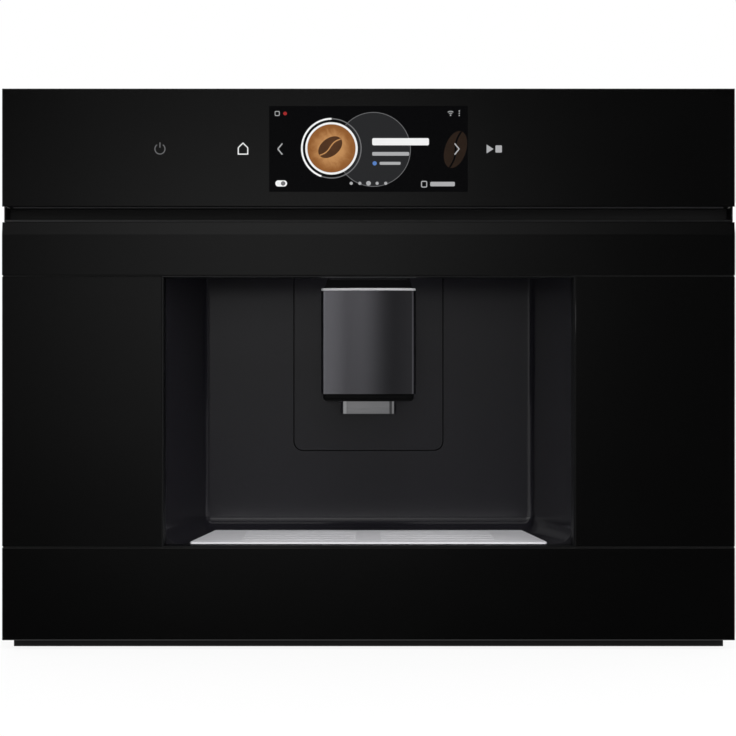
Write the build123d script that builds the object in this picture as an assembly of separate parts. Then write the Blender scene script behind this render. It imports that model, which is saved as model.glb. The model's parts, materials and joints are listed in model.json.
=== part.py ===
"""A built-in coffee machine for a 600 mm wide kitchen cabinet, 45 cm class.

The glass front has a fixed control panel, a grip recess under it, and one full-height door hinged on its
left. The door has a window round the cup niche, so the machine is used with the door shut. Behind the door
are the water tank (right), the drip tray (middle), and the bean container and brewing unit (left).

Frame: millimetres, +X to the right as seen from the front, +Y to the rear, +Z up.
The origin is the middle of the whole machine's footprint, on the surface that it stands on.
"""

from build123d import *

import math
import os

os.makedirs("parts", exist_ok=True)

# ------------------------------------------------------------------ the front, as seen
WIDTH = 594.0  # across the glass
HEIGHT = 455.0  # base to the top of the control panel
DEPTH = 385.0  # glass face to rear panel
FRONT_PROUD = 29.0  # how far the front stands out of the cabinet
GLASS_T = 4.0
GLASS_EDGE = 0.5  # polished chamfer round each pane
CONTROL_H = 95.6  # height of the control panel
GRIP_GAP = 12.6  # finger gap between control panel and door
TOP_PANE_H = 43.2
TOP_BEVEL_H = 10.0  # wide bevel along the top of the door
TOP_BEVEL_D = 1.8
LOWER_PANE_H = 75.1
DOOR_LIFT = 7.8  # lowest glass edge above the base
PANE_GAP = 1.0  # joint between two panes
SIDE_PANE_W = 129.4  # each side pane; the window is what is left between them

# ------------------------------------------------------------------ door
DOOR_T = 18.0
DOOR_INSET = 1.5  # door frame inside the glass outline
INNER_T = 1.2  # inner panel of the door
DOOR_SKIN = 2.5  # moulded skin behind the glass
DOOR_WALL = 3.5  # walls round the door's hollow bays
TRIM_T = 1.0  # thin metal trim round the window
TRIM_SET = 0.3  # the trim's edge lies this far behind the glass face
DOOR_CLEAR = 2.5  # shut door to front frame
GRIP_CHANNEL_SIDE = 29.0  # channel's end from the door's edge
GRIP_CHANNEL_DEPTH = 14.0
GRIP_CHANNEL_SET = 3.0  # wall between the glass and the channel

# ------------------------------------------------------------------ hinges and catches
PIVOT_IN = 7.0  # pivot from the door's left edge
PIVOT_BACK = 11.0  # pivot behind the glass face
PIN_R = 2.5
PIN_LENGTH = 12.0
PIN_CLEAR = 0.06  # running clearance of the pin in the door frame
ARM_T = 3.0
ARM_W = 6.0
ARM_GAP = 1.0  # hinge arm to the door's notch
LEAF_W = 18.0
LEAF_H = 30.0
LEAF_T = 3.0
HINGE_NOTCH_W = 13.0
MAGNET_W = 6.0
MAGNET_H = 30.0
MAGNET_T = 4.0
CATCH_GAP = 0.4
CATCH_RIM = 1.0  # catch plate round the magnet
CATCH_EDGE = 10.0  # catch centre line from the door's right edge
CATCH_LOW = 38.0  # lower catch above the door's bottom
CATCH_HIGH = 24.0  # upper catch below the door's top

# ------------------------------------------------------------------ casing
CASE_SIDE = 19.0  # the front stands out this far on each side of the casing
CASE_DROP = 9.0  # casing's top under the front's top
FOOT_H = 5.0
FOOT_R = 14.0
FOOT_INSET = 34.0
SHEET = 1.0
FLANGE_H = 14.0
VENT_L = 34.0
VENT_W = 4.0
VENT_PITCH = 9.0
VENT_ROWS = 9
VENT_COLUMNS = 3
VENT_COLUMN_X = 75.0  # innermost rear vents from the centre line
VENT_COLUMN_PITCH = 47.5
VENT_DROP = 136.0  # lowest vent row under the casing's top
SIDE_VENT_ROWS = 7
SIDE_VENT_IN = 68.0  # side and top vents from the rear
TOP_VENT_L = 102.0

# ------------------------------------------------------------------ front frame
FRAME_SIDE = 5.75  # frame's sides behind the glass's edge
RECESS_SIDE = 1.4  # grip recess's ends behind the glass's edge
CAP_T = 1.0  # end caps of the grip recess
CAP_SET = 2.0
BOTTOM_BAR = 10.0
STOP_LIP = 0.5  # raised lip that meets the cabinet's front edge
FIXING_OUT = 7.5  # cabinet screws outside the casing
FIXING_LOW = 75.0
FIXING_DROP = 51.8  # upper screws below the door's top
FIXING_R = 2.3
SEAT_CLEAR = 0.3  # liner and cover in their openings
CUT = 1.0  # cuts run on past the surface by this much

# ------------------------------------------------------------------ control panel inside
CARRIER_INSET = 2.5
CARRIER_SKIN = 3.0
CARRIER_RIM = 3.0
DISPLAY_W = 161.3
DISPLAY_H = 69.7
DISPLAY_DROP = 1.2  # display's centre below the panel's centre
DISPLAY_T = 8.0
DISPLAY_CLEAR = 0.4
BOARD_T = 1.6
BOARD_W = 400.0
BOARD_H = 60.0
BOARD_POST_R = 4.0
BOARD_POST_IN = 9.0
CHIP_W = 36.0
CHIP_T = 2.5
CHIP_H = 24.0
PLUG_W = 40.0
PLUG_T = 7.0
PLUG_H = 8.0
PLUG_X = 110.0
PLUG_DROP = 16.0

# ------------------------------------------------------------------ cup niche
NICHE_SIDE = 0.5  # niche's front edge inside the window
NICHE_SPLAY = 21.4  # each side wall runs in by this much
NICHE_BACK = 152.0  # niche back wall behind the glass face
NICHE_STEP = 1.1  # niche's floor above the window's lower edge
NICHE_LIP = 0.8  # niche's ceiling below the door's top
LINER_T = 2.0
COVE_R = 12.0
NICHE_CORNER_R = 5.0
LAMP_W = 64.0
LAMP_D = 12.0
LAMP_T = 3.5
LAMP_BACK = 4.0  # lamp behind the niche's front edge
LAMP_ROUND = 1.2

# ------------------------------------------------------------------ outlet guide
GUIDE_HALF = 66.0
GUIDE_RIM = 33.1  # panel below the slot
GUIDE_CORNER_R = 8.0
GUIDE_GAP = 0.8
GUIDE_PROUD = 0.5
GUIDE_FLANGE = 6.0
GUIDE_DROP = 50.0  # top of the guide panel below the casing's top
SLOT_HALF = 19.0
SLOT_ROOM = 7.0  # slot beyond the arm's travel
ROD_R = 3.0
ROD_X = 33.0
ROD_BACK = 18.0  # rod axis behind the guide flange
ROD_CLEAR = 0.1
LUG_W = 14.0
LUG_T = 6.0
LUG_RIM = 3.0
SLOT_R = 4.0

# ------------------------------------------------------------------ outlet
OUTLET_W = 78.8
OUTLET_FRONT = 35.0  # outlet cover behind the glass face
OUTLET_D = 42.0
OUTLET_DROP = 8.8  # top of the outlet below the window's top
OUTLET_FACE_H = 87.9
OUTLET_CROWN = 4.0  # the face's middle stands this far in front of its sides
OUTLET_CORNER_R = 5.0
COVER_T = 1.6
OUTLET_TRIM_H = 1.9
TRIM_CHAMFER = 0.6
BASE_H = 6.2  # dark base under the cover
BASE_ROUND = 3.5  # rounding of the base's lower edges
EAVES_SET = 1.0  # roof's foot inside the body's top edge
ROOF_H = 15.2
ROOF_RUN = 26.0  # how far the roof's front slope runs back
ROOF_SIDE = 5.8  # how far its side slopes run in
BODY_BACK = 78.0  # rear of the outlet body behind its front
BODY_WALL = 3.0
NOZZLE_W = 47.0
NOZZLE_D = 30.0
NOZZLE_H = 11.4
NOZZLE_SINK = 1.0  # nozzle block let into the base
NOZZLE_SET = 10.0  # nozzle block behind the cover's face
NOZZLE_CORNER_R = 6.0
SPOUT_R = 2.6
SPOUT_PITCH = 24.0
ARM_HALF = 17.0
ARM_LIFT = 33.6  # arm above the cover's lower edge
ARM_H = 34.0
CARRIAGE_HALF = 42.0
CARRIAGE_T = 24.0
CARRIAGE_EDGE = 6.0  # carriage above and below the arm
FEED_R = 9.0  # passage for the coffee and milk lines
SHIELD_T = 1.5
SHIELD_HALF = 25.0
SLIDE_CLEAR = 0.3

# ------------------------------------------------------------------ drip tray and plate
PLATE_FRONT = 24.0
PLATE_COVE_GAP = 15.3  # plate's rear edge to the niche's back wall
PLATE_FRONT_SIDE = 19.9  # plate's front corners inside the niche's
PLATE_BACK_SIDE = 10.4
PLATE_STEP = 1.2  # plate above the niche's floor
PLATE_T = 1.2
PLATE_SKIRT = 3.7
PLATE_CORNER_R = 2.0
PLATE_WEB = 20.0  # between the two columns of slots
PLATE_SLOT_EDGE = 29.3  # slots to the plate's rear corners
PLATE_SLOT_W = 3.0
PLATE_SLOT_ROWS = 5
PLATE_SLOT_PITCH = 18.0
PLATE_MARGIN = 1.5  # plate to niche floor
TRAY_SIDE = 15.1  # tray inside the niche's front edges
TRAY_FRONT = 22.5
TRAY_BACK = 238.0
TRAY_BOTTOM = 12.0
TRAY_WALL = 2.5
TRAY_CORNER_R = 4.0
TRAY_LIP_W = 120.0  # pull lip along the tray's front
TRAY_LIP_T = 3.0
TRAY_LIP_R = 2.5
TRAY_LIP_H = 5.0
TRAY_LIP_DROP = 6.0
TRAY_DECK = 2.0
TRAY_LEDGE = 4.0  # deck under the plate's skirt
TRAY_SIDE_GAP = 4.0  # tray to its opening in the front frame
BIN_CLEAR = 0.5
BIN_WALL = 2.0
BIN_DROP = 3.0  # bin's rim below the niche liner
BIN_CORNER_R = 5.0
RAIL_W = 12.0
RAIL_IN = 42.0  # rails inside the tray's sides

# ------------------------------------------------------------------ the two side bays, water tank (right)
BAY_GAP = 14.9  # tank and bean container from the niche's front edges
BAY_SIDE_GAP = 8.0  # and from the casing's sides
TANK_FRONT = 22.5
TANK_BACK = 190.0
TANK_BOTTOM = 26.0
TANK_TOP = 212.0
TANK_WALL = 2.5
TANK_CORNER_R = 6.0
TANK_LID_T = 7.0
TANK_GRIP_W = 50.0
TANK_GRIP_H = 22.0
TANK_GRIP_D = 12.0
FILL_MOUTH_W = 52.0  # opening in the lid through which the tank is filled
FILL_MOUTH_L = 46.0
FILL_MOUTH_SET = 24.0  # its front edge behind the tank's front
FILL_MOUTH_R = 3.0
VALVE_R = 5.5
VALVE_LIFT = 20.0  # valve above the tank's bottom
VALVE_LENGTH = 13.0
VALVE_CLEAR = 0.3
DOCK_WALL = 3.0
DOCK_SET = 4.0  # dock behind the front frame
DOCK_PORT_T = 12.0
DOCK_PORT_GAP = 4.0
DOCK_PORT_H = 40.0
BAY_MARGIN = 2.0  # bay opening round what slides through it

# ------------------------------------------------------------------ bean container and grinder (left)
BEAN_BOTTOM = 236.0
BEAN_DROP = 16.8  # container's rim below the door's top
BEAN_BACK = 188.0
BEAN_WALL = 2.4
BEAN_SLOPE = 22.0
BEAN_CORNER_R = 6.0
BEAN_LID_RIM = 8.0
BEAN_PORT_W = 42.0
BEAN_PORT_H = 18.0
BEAN_LID_T = 6.0
SHELF_T = 4.0
SHELF_OVER = 6.0  # shelf beyond the bean container
SHELF_BACK = 302.0
SHELF_LIP_T = 2.0
HOPPER_W = 61.0
HOPPER_H = 27.0
HOPPER_BACK = 288.0
HOPPER_WALL = 3.0
THROAT_R = 17.0
GRINDER_DEEP = 252.0
GRINDER_R = 38.0
GRINDER_H = 40.0
GRINDER_EDGE = 4.0
RING_R = 28.0
RING_H = 24.0
CONE_LOW_R = 21.0
CONE_HIGH_R = 10.0
BURR_GAP = 0.8
BURR_TEETH = 10
BURR_TOOTH = 3.0
BURR_TOOTH_OUT = 0.6  # middle of a groove's cutter outside the cone
CUTTER_L = 80.0
BURR_MOUTH = 4.0  # wider gap where the beans enter
BURR_TAIL = 10.0  # burr shaft below the grinder cup
BURR_SHAFT_R = 4.0
MOTOR_R = 31.0
MOTOR_FLANGE_T = 4.0
MOTOR_EDGE = 3.0
MOTOR_H = 76.0
DIAL_R = 12.0
DIAL_T = 5.4
DIAL_RIBS = 12
DIAL_RIB_R = 1.0
DIAL_MARK = 0.8  # width and depth of the pointer groove
DIAL_SHAFT_END = 6.0  # dial shaft behind the front frame
DIAL_WELL_D = 6.0
DIAL_SHAFT_R = 3.0
DIAL_DROP = 19.0  # dial below the bean container
DIAL_WELL = 1.5
CHUTE_HALF = 14.0
CHUTE_WALL = 2.0
CHUTE_MOUTH = 32.0
CHUTE_LIP = 5.0  # steep walls measured upright at the mouth
CHUTE_GAP = 6.0  # height of the opening through which the coffee leaves

# ------------------------------------------------------------------ brewing unit (left)
BREW_HALF = 36.5
BREW_FRONT = 60.0
BREW_BACK = 198.0
BREW_DROP = 40.0  # brewing unit below the bean container
BREW_WALL = 4.0
BREW_FLOOR = 6.0
BREW_DECK = 5.0
BREW_BRIDGE = 8.0
CHAMBER_DEEP = 158.0
CHAMBER_LOW = 50.0
CHAMBER_H = 68.0
CHAMBER_R = 25.0
CHAMBER_WALL = 4.5
CHAMBER_FLOOR = 6.0
CHAMBER_RIM = 2.0
CHAMBER_RIM_T = 4.0
CHAMBER_DRAIN_R = 4.0
CHUTE_STEP = 4.0  # chute mouth above the chamber
PISTON_CLEAR = 0.2
PISTON_LIFT = 22.0  # raised piston above the chamber
PISTON_H = 16.0
PISTON_ROD_R = 7.0
SEAL_W = 4.0
SEAL_D = 2.0
PISTON_HEAD_GAP = 3.0  # piston rod to the shelf above
ROD_BORE_CLEAR = 0.08
DRIVE_H = 26.0
DRIVE_SET = 6.0
DRIVE_CLEAR = 3.0
DRIVE_MOTOR_R = 11.0
DRIVE_MOTOR_L = 20.0
DRIVE_CAP_R = 9.0
DRIVE_CAP_T = 4.0
BREW_COVER_T = 4.5
BREW_COVER_R = 3.0
BREW_GRIP_W = 44.0
BREW_GRIP_H = 20.0
BREW_GRIP_D = 14.5
BREW_GRIP_WALL = 2.0
BREW_GRIP_DROP = 34.0
BREW_BAY_DROP = 36.0  # top of the brewing unit's bay below the bean container
BREW_BAY_BOTTOM = 24.0
PUCK_FRONT = 158.0
PUCK_BACK = 196.0
PUCK_WALL = 2.0
PUCK_SIDE = 14.0
PUCK_OVER = 10.0  # slide reaches this far over the bin
PUCK_CLEAR = 2.0  # slide's end above the niche floor's level
PUCK_WINDOW = 30.0

# ------------------------------------------------------------------ heater, pump and electrics (rear)
INNER_SHELF_Z = 92.0
INNER_SHELF_FRONT = 242.0
INNER_SHELF_SIDE = 18.0  # shelf outside the drip tray
BOILER_X = 40.0
BOILER_DEEP = 310.0
BOILER_R = 38.0
BOILER_H = 104.0
BOILER_FOOT_OUT = 8.0
BOILER_FOOT_T = 5.0
BOILER_BELT_OUT = 6.0  # belt round its middle
BOILER_BELT_H = 8.0
BOILER_DOME = 6.0
UNION_R = 6.0
UNION_L = 12.0
UNION_H = 13.0  # lower union above the shelf
PUMP_IN = 80.0  # pump's middle from the shelf's left edge
PUMP_DEEP = 300.0
PUMP_R = 21.0
PUMP_L = 74.0
PUMP_FOOT_H = 10.0
PUMP_FOOT_R = 6.0
PUMP_CAP_R = 14.0
PUMP_CAP_L = 12.0
PUMP_YOKE = 38.0
POWER_IN = 72.0  # board's middle from the casing's right side
POWER_DEEP = 310.0
POWER_W = 120.0
POWER_D = 110.0
STANDOFF_H = 8.0
STANDOFF_R = 3.5
STANDOFF_IN = 6.0
TRANSFORMER_X = 8.0  # what stands on the board is placed from its left front corner
TRANSFORMER_Y = 12.0
TRANSFORMER_W = 42.0
TRANSFORMER_D = 36.0
TRANSFORMER_H = 32.0
CAPACITOR_X = 70.0
CAPACITOR_Y = 24.0
CAPACITOR_R = 10.0
CAPACITOR_H = 26.0
RELAY_X = 80.0
RELAY_Y = 56.0
RELAY_PITCH = 24.0
RELAY_W = 30.0
RELAY_D = 16.0
RELAY_H = 16.0
RELAY_COUNT = 2
FIN_X = 12.0
FIN_Y = 66.0
FIN_PITCH = 7.0
FIN_T = 2.0
FIN_D = 32.0
FIN_H = 24.0
FIN_COUNT = 5
INLET_IN = 72.0  # inlet's middle from the casing's right side
INLET_Z = 56.0
INLET_W = 48.0
INLET_H = 28.0
INLET_FLANGE_T = 2.5
INLET_BODY_D = 24.0
INLET_BODY_W = 30.0
INLET_BODY_H = 22.0
INLET_WALL = 3.0
INLET_FLOOR = 6.0
CONTACT_X = 7.0  # outer contacts from the middle one
CONTACT_LOW = 2.0  # outer contacts below the inlet's middle
CONTACT_HIGH = 3.0  # middle contact above it
CONTACT_W = 2.0
CONTACT_H = 4.0
HOSE_R = 3.5
HOSE_BEND = 22.0
HOSE_ROOM = 2.0  # straight length left between a bend and a fitting
HOSE_STEP = 10.0

# ------------------------------------------------------------------ how far things move
OUTLET_UP = 32.0  # travel above the photographed height
OUTLET_DOWN = 45.0

# ------------------------------------------------------------------ places worked out from the sizes
FACE_Y = -DEPTH / 2
REAR_Y = DEPTH / 2
GLASS_BACK = FACE_Y + GLASS_T
DOOR_BACK = FACE_Y + DOOR_T
FRAME_Y = DOOR_BACK + DOOR_CLEAR
CABINET_Y = FACE_Y + FRONT_PROUD
HALF_W = WIDTH / 2
WINDOW_HALF = HALF_W - SIDE_PANE_W
FRAME_HALF = HALF_W - FRAME_SIDE
RECESS_HALF = HALF_W - RECESS_SIDE
CONTROL_Z = HEIGHT - CONTROL_H
DOOR_TOP = CONTROL_Z - GRIP_GAP
TOP_PANE_Z = DOOR_TOP - TOP_PANE_H
LOWER_PANE_TOP = DOOR_LIFT + LOWER_PANE_H
DISPLAY_Z = CONTROL_Z + CONTROL_H / 2 - DISPLAY_DROP
CASE_TOP = HEIGHT - CASE_DROP
CASE_HALF = HALF_W - CASE_SIDE
INNER_HALF = CASE_HALF - SHEET  # inside of the side panels
FLOOR_Z = FOOT_H + SHEET  # inside of the base pan
FIXING_X = CASE_HALF + FIXING_OUT
PIVOT_X = -HALF_W + PIVOT_IN
PIVOT_Y = FACE_Y + PIVOT_BACK

NICHE_FRONT_HALF = WINDOW_HALF - NICHE_SIDE
NICHE_BACK_HALF = NICHE_FRONT_HALF - NICHE_SPLAY
NICHE_FLOOR = LOWER_PANE_TOP + NICHE_STEP
NICHE_TOP = DOOR_TOP - NICHE_LIP
NICHE_BACK_Y = FACE_Y + NICHE_BACK
FLANGE_Y = NICHE_BACK_Y + LINER_T  # rear face of the liner's back wall
OUTLET_Y = FACE_Y + OUTLET_FRONT
OUTLET_TOP = TOP_PANE_Z - OUTLET_DROP
OUTLET_LOW = OUTLET_TOP - OUTLET_FACE_H
OUTLET_FACE_R = (OUTLET_W**2 / 4 + OUTLET_CROWN**2) / (2 * OUTLET_CROWN)
ARM_LOW = OUTLET_LOW + ARM_LIFT
ARM_HIGH = ARM_LOW + ARM_H
SLOT_LOW = ARM_LOW - OUTLET_DOWN - SLOT_ROOM
SLOT_HIGH = ARM_HIGH + OUTLET_UP + SLOT_ROOM
GUIDE_BOTTOM = SLOT_LOW - GUIDE_RIM
GUIDE_TOP = CASE_TOP - GUIDE_DROP

PLATE_Y0 = FACE_Y + PLATE_FRONT
PLATE_Y1 = NICHE_BACK_Y - PLATE_COVE_GAP
PLATE_FRONT_HALF = NICHE_FRONT_HALF - PLATE_FRONT_SIDE
PLATE_BACK_HALF = NICHE_BACK_HALF - PLATE_BACK_SIDE
PLATE_TOP = NICHE_FLOOR + PLATE_STEP
PLATE_SEAT = PLATE_TOP - PLATE_SKIRT
TRAY_HALF = NICHE_FRONT_HALF - TRAY_SIDE
BIN_TOP = NICHE_FLOOR - LINER_T - BIN_DROP
RAIL_X = TRAY_HALF - RAIL_IN

TANK_INNER = NICHE_FRONT_HALF + BAY_GAP
TANK_OUTER = INNER_HALF - BAY_SIDE_GAP
TANK_X = (TANK_INNER + TANK_OUTER) / 2
VALVE_Z = TANK_BOTTOM + VALVE_LIFT
BEAN_INNER = -TANK_INNER
BEAN_OUTER = -TANK_OUTER
BEAN_X = -TANK_X
BEAN_TOP = DOOR_TOP - BEAN_DROP
GRINDER_X = BEAN_X
GRINDER_Y = FACE_Y + GRINDER_DEEP
DIAL_Z = BEAN_BOTTOM - DIAL_DROP
BREW_TOP = BEAN_BOTTOM - BREW_DROP
BREW_BAY_TOP = BEAN_BOTTOM - BREW_BAY_DROP
CHAMBER_Y = FACE_Y + CHAMBER_DEEP
CHAMBER_HIGH = CHAMBER_LOW + CHAMBER_H
PISTON_LOW = CHAMBER_HIGH + PISTON_LIFT
INNER_SHELF_LEFT = -TRAY_HALF - INNER_SHELF_SIDE
PUMP_X = INNER_SHELF_LEFT + PUMP_IN
POWER_X = INNER_HALF - POWER_IN
INLET_X = INNER_HALF - INLET_IN


def block(x0, x1, y0, y1, z0, z1):
    """A box between two corners."""
    return Pos((x0 + x1) / 2, (y0 + y1) / 2, (z0 + z1) / 2) * Box(x1 - x0, y1 - y0, z1 - z0)


def post(x, y, z0, z1, r):
    """An upright cylinder."""
    return Pos(x, y, (z0 + z1) / 2) * Cylinder(r, z1 - z0)


def bar(x, z, y0, y1, r):
    """A cylinder that runs front to back."""
    return Pos(x, (y0 + y1) / 2, z) * Rot(90, 0, 0) * Cylinder(r, y1 - y0)


def across(points, x0, x1):
    """A (y, z) outline extruded from x0 to x1."""
    face = make_face(Plane.YZ * Polyline(*points, close=True))
    return Pos(x0, 0, 0) * extrude(face, amount=x1 - x0, dir=(1, 0, 0))


def upright(points, z0, z1):
    """An (x, y) outline extruded from z0 to z1."""
    face = make_face(Polyline(*points, close=True))
    return Pos(0, 0, z0) * extrude(face, amount=z1 - z0, dir=(0, 0, 1))


def turned(x, y, outline):
    """A body of revolution about an upright axis, from its (radius, height) outline."""
    face = make_face(Plane.XZ * Polyline(*outline, close=True))
    return Pos(x, y, 0) * revolve(face, Axis.Z)


def vertical_edges(solid):
    return solid.edges().filter_by(Axis.Z)


def rounded_block(x0, x1, y0, y1, z0, z1, r):
    """A box whose four upright edges are rounded."""
    solid = block(x0, x1, y0, y1, z0, z1)
    return fillet(vertical_edges(solid), r)


def tapered(front_half, back_half, y0, y1, z0, z1):
    """A block that is wider at the front than at the back, both about the centre line."""
    outline = [(-front_half, y0), (front_half, y0), (back_half, y1), (-back_half, y1)]
    return upright(outline, z0, z1)


def half_at(y, front, back, y0, y1):
    """Half width at y of a side that runs from front at y0 to back at y1."""
    return front + (back - front) * (y - y0) / (y1 - y0)


def hollowed(box, wall):
    """A rounded box made into an open-topped container."""
    return offset(box, amount=-wall, openings=box.faces().sort_by(Axis.Z)[-1])


def mirror_x(solid):
    return mirror(solid, about=Plane.YZ)


# ------------------------------------------------------------------ casing


def make_base_pan():
    """Folded tray that carries everything, with two rails for the drip tray."""
    front, back = CABINET_Y, REAR_Y - SHEET
    pan = block(-INNER_HALF, INNER_HALF, front, back, FOOT_H, FLOOR_Z)
    for side in (-1, 1):
        edge = sorted((side * INNER_HALF, side * (INNER_HALF - SHEET)))
        pan += block(*edge, front, back, FOOT_H, FOOT_H + FLANGE_H)
        rail = sorted((side * RAIL_X, side * (RAIL_X + RAIL_W)))
        pan += block(*rail, front, FACE_Y + TRAY_BACK, FLOOR_Z, TRAY_BOTTOM)
    pan += block(-INNER_HALF, INNER_HALF, back - SHEET, back, FOOT_H, FOOT_H + FLANGE_H)
    return pan


def vent_rows(count, x, z):
    """Cutting sketch for a column of slots, each VENT_L wide."""
    slots = Sketch()
    for row in range(count):
        slots += Pos(x, z + row * VENT_PITCH) * SlotOverall(VENT_L, VENT_W)
    return slots


def make_side_panel():
    """Right side panel; the left one is its mirror image."""
    panel = block(INNER_HALF, CASE_HALF, CABINET_Y, REAR_Y, FOOT_H, CASE_TOP)
    slots = vent_rows(SIDE_VENT_ROWS, REAR_Y - SIDE_VENT_IN, CASE_TOP - VENT_DROP)
    return panel - Pos(INNER_HALF, 0, 0) * extrude(Plane.YZ * slots, amount=SHEET, dir=(1, 0, 0))


def make_rear_panel():
    """Rear sheet with two vent fields and the hole for the mains inlet."""
    panel = block(-INNER_HALF, INNER_HALF, REAR_Y - SHEET, REAR_Y, FOOT_H, CASE_TOP - SHEET)
    slots = Sketch()
    for side in (-1, 1):
        for column in range(VENT_COLUMNS):
            x = VENT_COLUMN_X + column * VENT_COLUMN_PITCH
            slots += vent_rows(VENT_ROWS, side * x, CASE_TOP - VENT_DROP)
    panel -= slab(slots, REAR_Y - SHEET, REAR_Y)
    hole_w, hole_h = INLET_BODY_W + 2 * SLIDE_CLEAR, INLET_BODY_H + 2 * SLIDE_CLEAR
    return panel - Pos(INLET_X, REAR_Y - SHEET / 2, INLET_Z) * Box(hole_w, SHEET, hole_h)


def make_top_cover():
    """Top sheet with folded side flanges inside the side panels."""
    cover = block(-INNER_HALF, INNER_HALF, CABINET_Y, REAR_Y, CASE_TOP - SHEET, CASE_TOP)
    for side in (-1, 1):
        edge = sorted((side * INNER_HALF, side * (INNER_HALF - SHEET)))
        cover += block(*edge, CABINET_Y, REAR_Y - SHEET, CASE_TOP - FLANGE_H, CASE_TOP)
    slots = Sketch()
    for row in range(VENT_ROWS):
        slots += Pos(0, REAR_Y - SIDE_VENT_IN - row * VENT_PITCH) * SlotOverall(TOP_VENT_L, VENT_W)
    return cover - Pos(0, 0, CASE_TOP - SHEET) * extrude(slots, amount=SHEET)


def make_feet():
    """Four glides under the base pan."""
    feet = []
    for x in (-INNER_HALF + FOOT_INSET, INNER_HALF - FOOT_INSET):
        for y in (CABINET_Y + FOOT_INSET, REAR_Y - FOOT_INSET):
            feet.append(post(x, y, 0, FOOT_H, FOOT_R))
    return Compound(children=feet)


# ------------------------------------------------------------------ control panel


def pane(x0, x1, z0, z1):
    """A glass pane with a polished chamfer round its front face."""
    glass = block(x0, x1, FACE_Y, GLASS_BACK, z0, z1)
    front = glass.faces().sort_by(Axis.Y)[0]
    return chamfer(front.edges(), GLASS_EDGE)


def make_control_glass():
    return pane(-HALF_W, HALF_W, CONTROL_Z, HEIGHT)


def display_pocket(clearance, y0, y1):
    """The display's outline, grown by a clearance."""
    half_w, half_h = DISPLAY_W / 2 + clearance, DISPLAY_H / 2 + clearance
    return block(-half_w, half_w, y0, y1, DISPLAY_Z - half_h, DISPLAY_Z + half_h)


def make_control_carrier():
    """Moulded carrier behind the control glass, open at the rear."""
    half = HALF_W - CARRIER_INSET
    carrier = block(-half, half, GLASS_BACK, CABINET_Y, CONTROL_Z, HEIGHT - CARRIER_INSET)
    inside = CASE_HALF - CARRIER_RIM
    pocket_y = GLASS_BACK + CARRIER_SKIN
    low, high = CONTROL_Z + CARRIER_RIM, CASE_TOP - CARRIER_RIM
    carrier -= block(-inside, inside, pocket_y, CABINET_Y, low, high)
    carrier -= display_pocket(DISPLAY_CLEAR, GLASS_BACK, pocket_y)
    board_y = GLASS_BACK + DISPLAY_T
    post_x, post_z = BOARD_W / 2 - BOARD_POST_IN, BOARD_H / 2 - BOARD_POST_IN
    for x in (-post_x, post_x):
        for z in (DISPLAY_Z - post_z, DISPLAY_Z + post_z):
            carrier += bar(x, z, pocket_y, board_y, BOARD_POST_R)
    return carrier


def make_display_module():
    return display_pocket(0, GLASS_BACK, GLASS_BACK + DISPLAY_T)


def make_touch_board():
    """Circuit board behind the display, with its connector and processor."""
    y0 = GLASS_BACK + DISPLAY_T
    z0, z1 = DISPLAY_Z - BOARD_H / 2, DISPLAY_Z + BOARD_H / 2
    board = block(-BOARD_W / 2, BOARD_W / 2, y0, y0 + BOARD_T, z0, z1)
    back = y0 + BOARD_T
    board += Pos(0, back + CHIP_T / 2, DISPLAY_Z) * Box(CHIP_W, CHIP_T, CHIP_H)
    return board + Pos(PLUG_X, back + PLUG_T / 2, DISPLAY_Z - PLUG_DROP) * Box(PLUG_W, PLUG_T, PLUG_H)


# ------------------------------------------------------------------ front frame


def rect(x0, x1, z0, z1):
    """A rectangle in a front-view sketch."""
    return Pos((x0 + x1) / 2, (z0 + z1) / 2) * Rectangle(x1 - x0, z1 - z0)


def slab(sketch, y0, y1):
    """A front-view sketch extruded from y0 back to y1."""
    return extrude(Plane.XZ.offset(-y1) * sketch, amount=y1 - y0)


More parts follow.
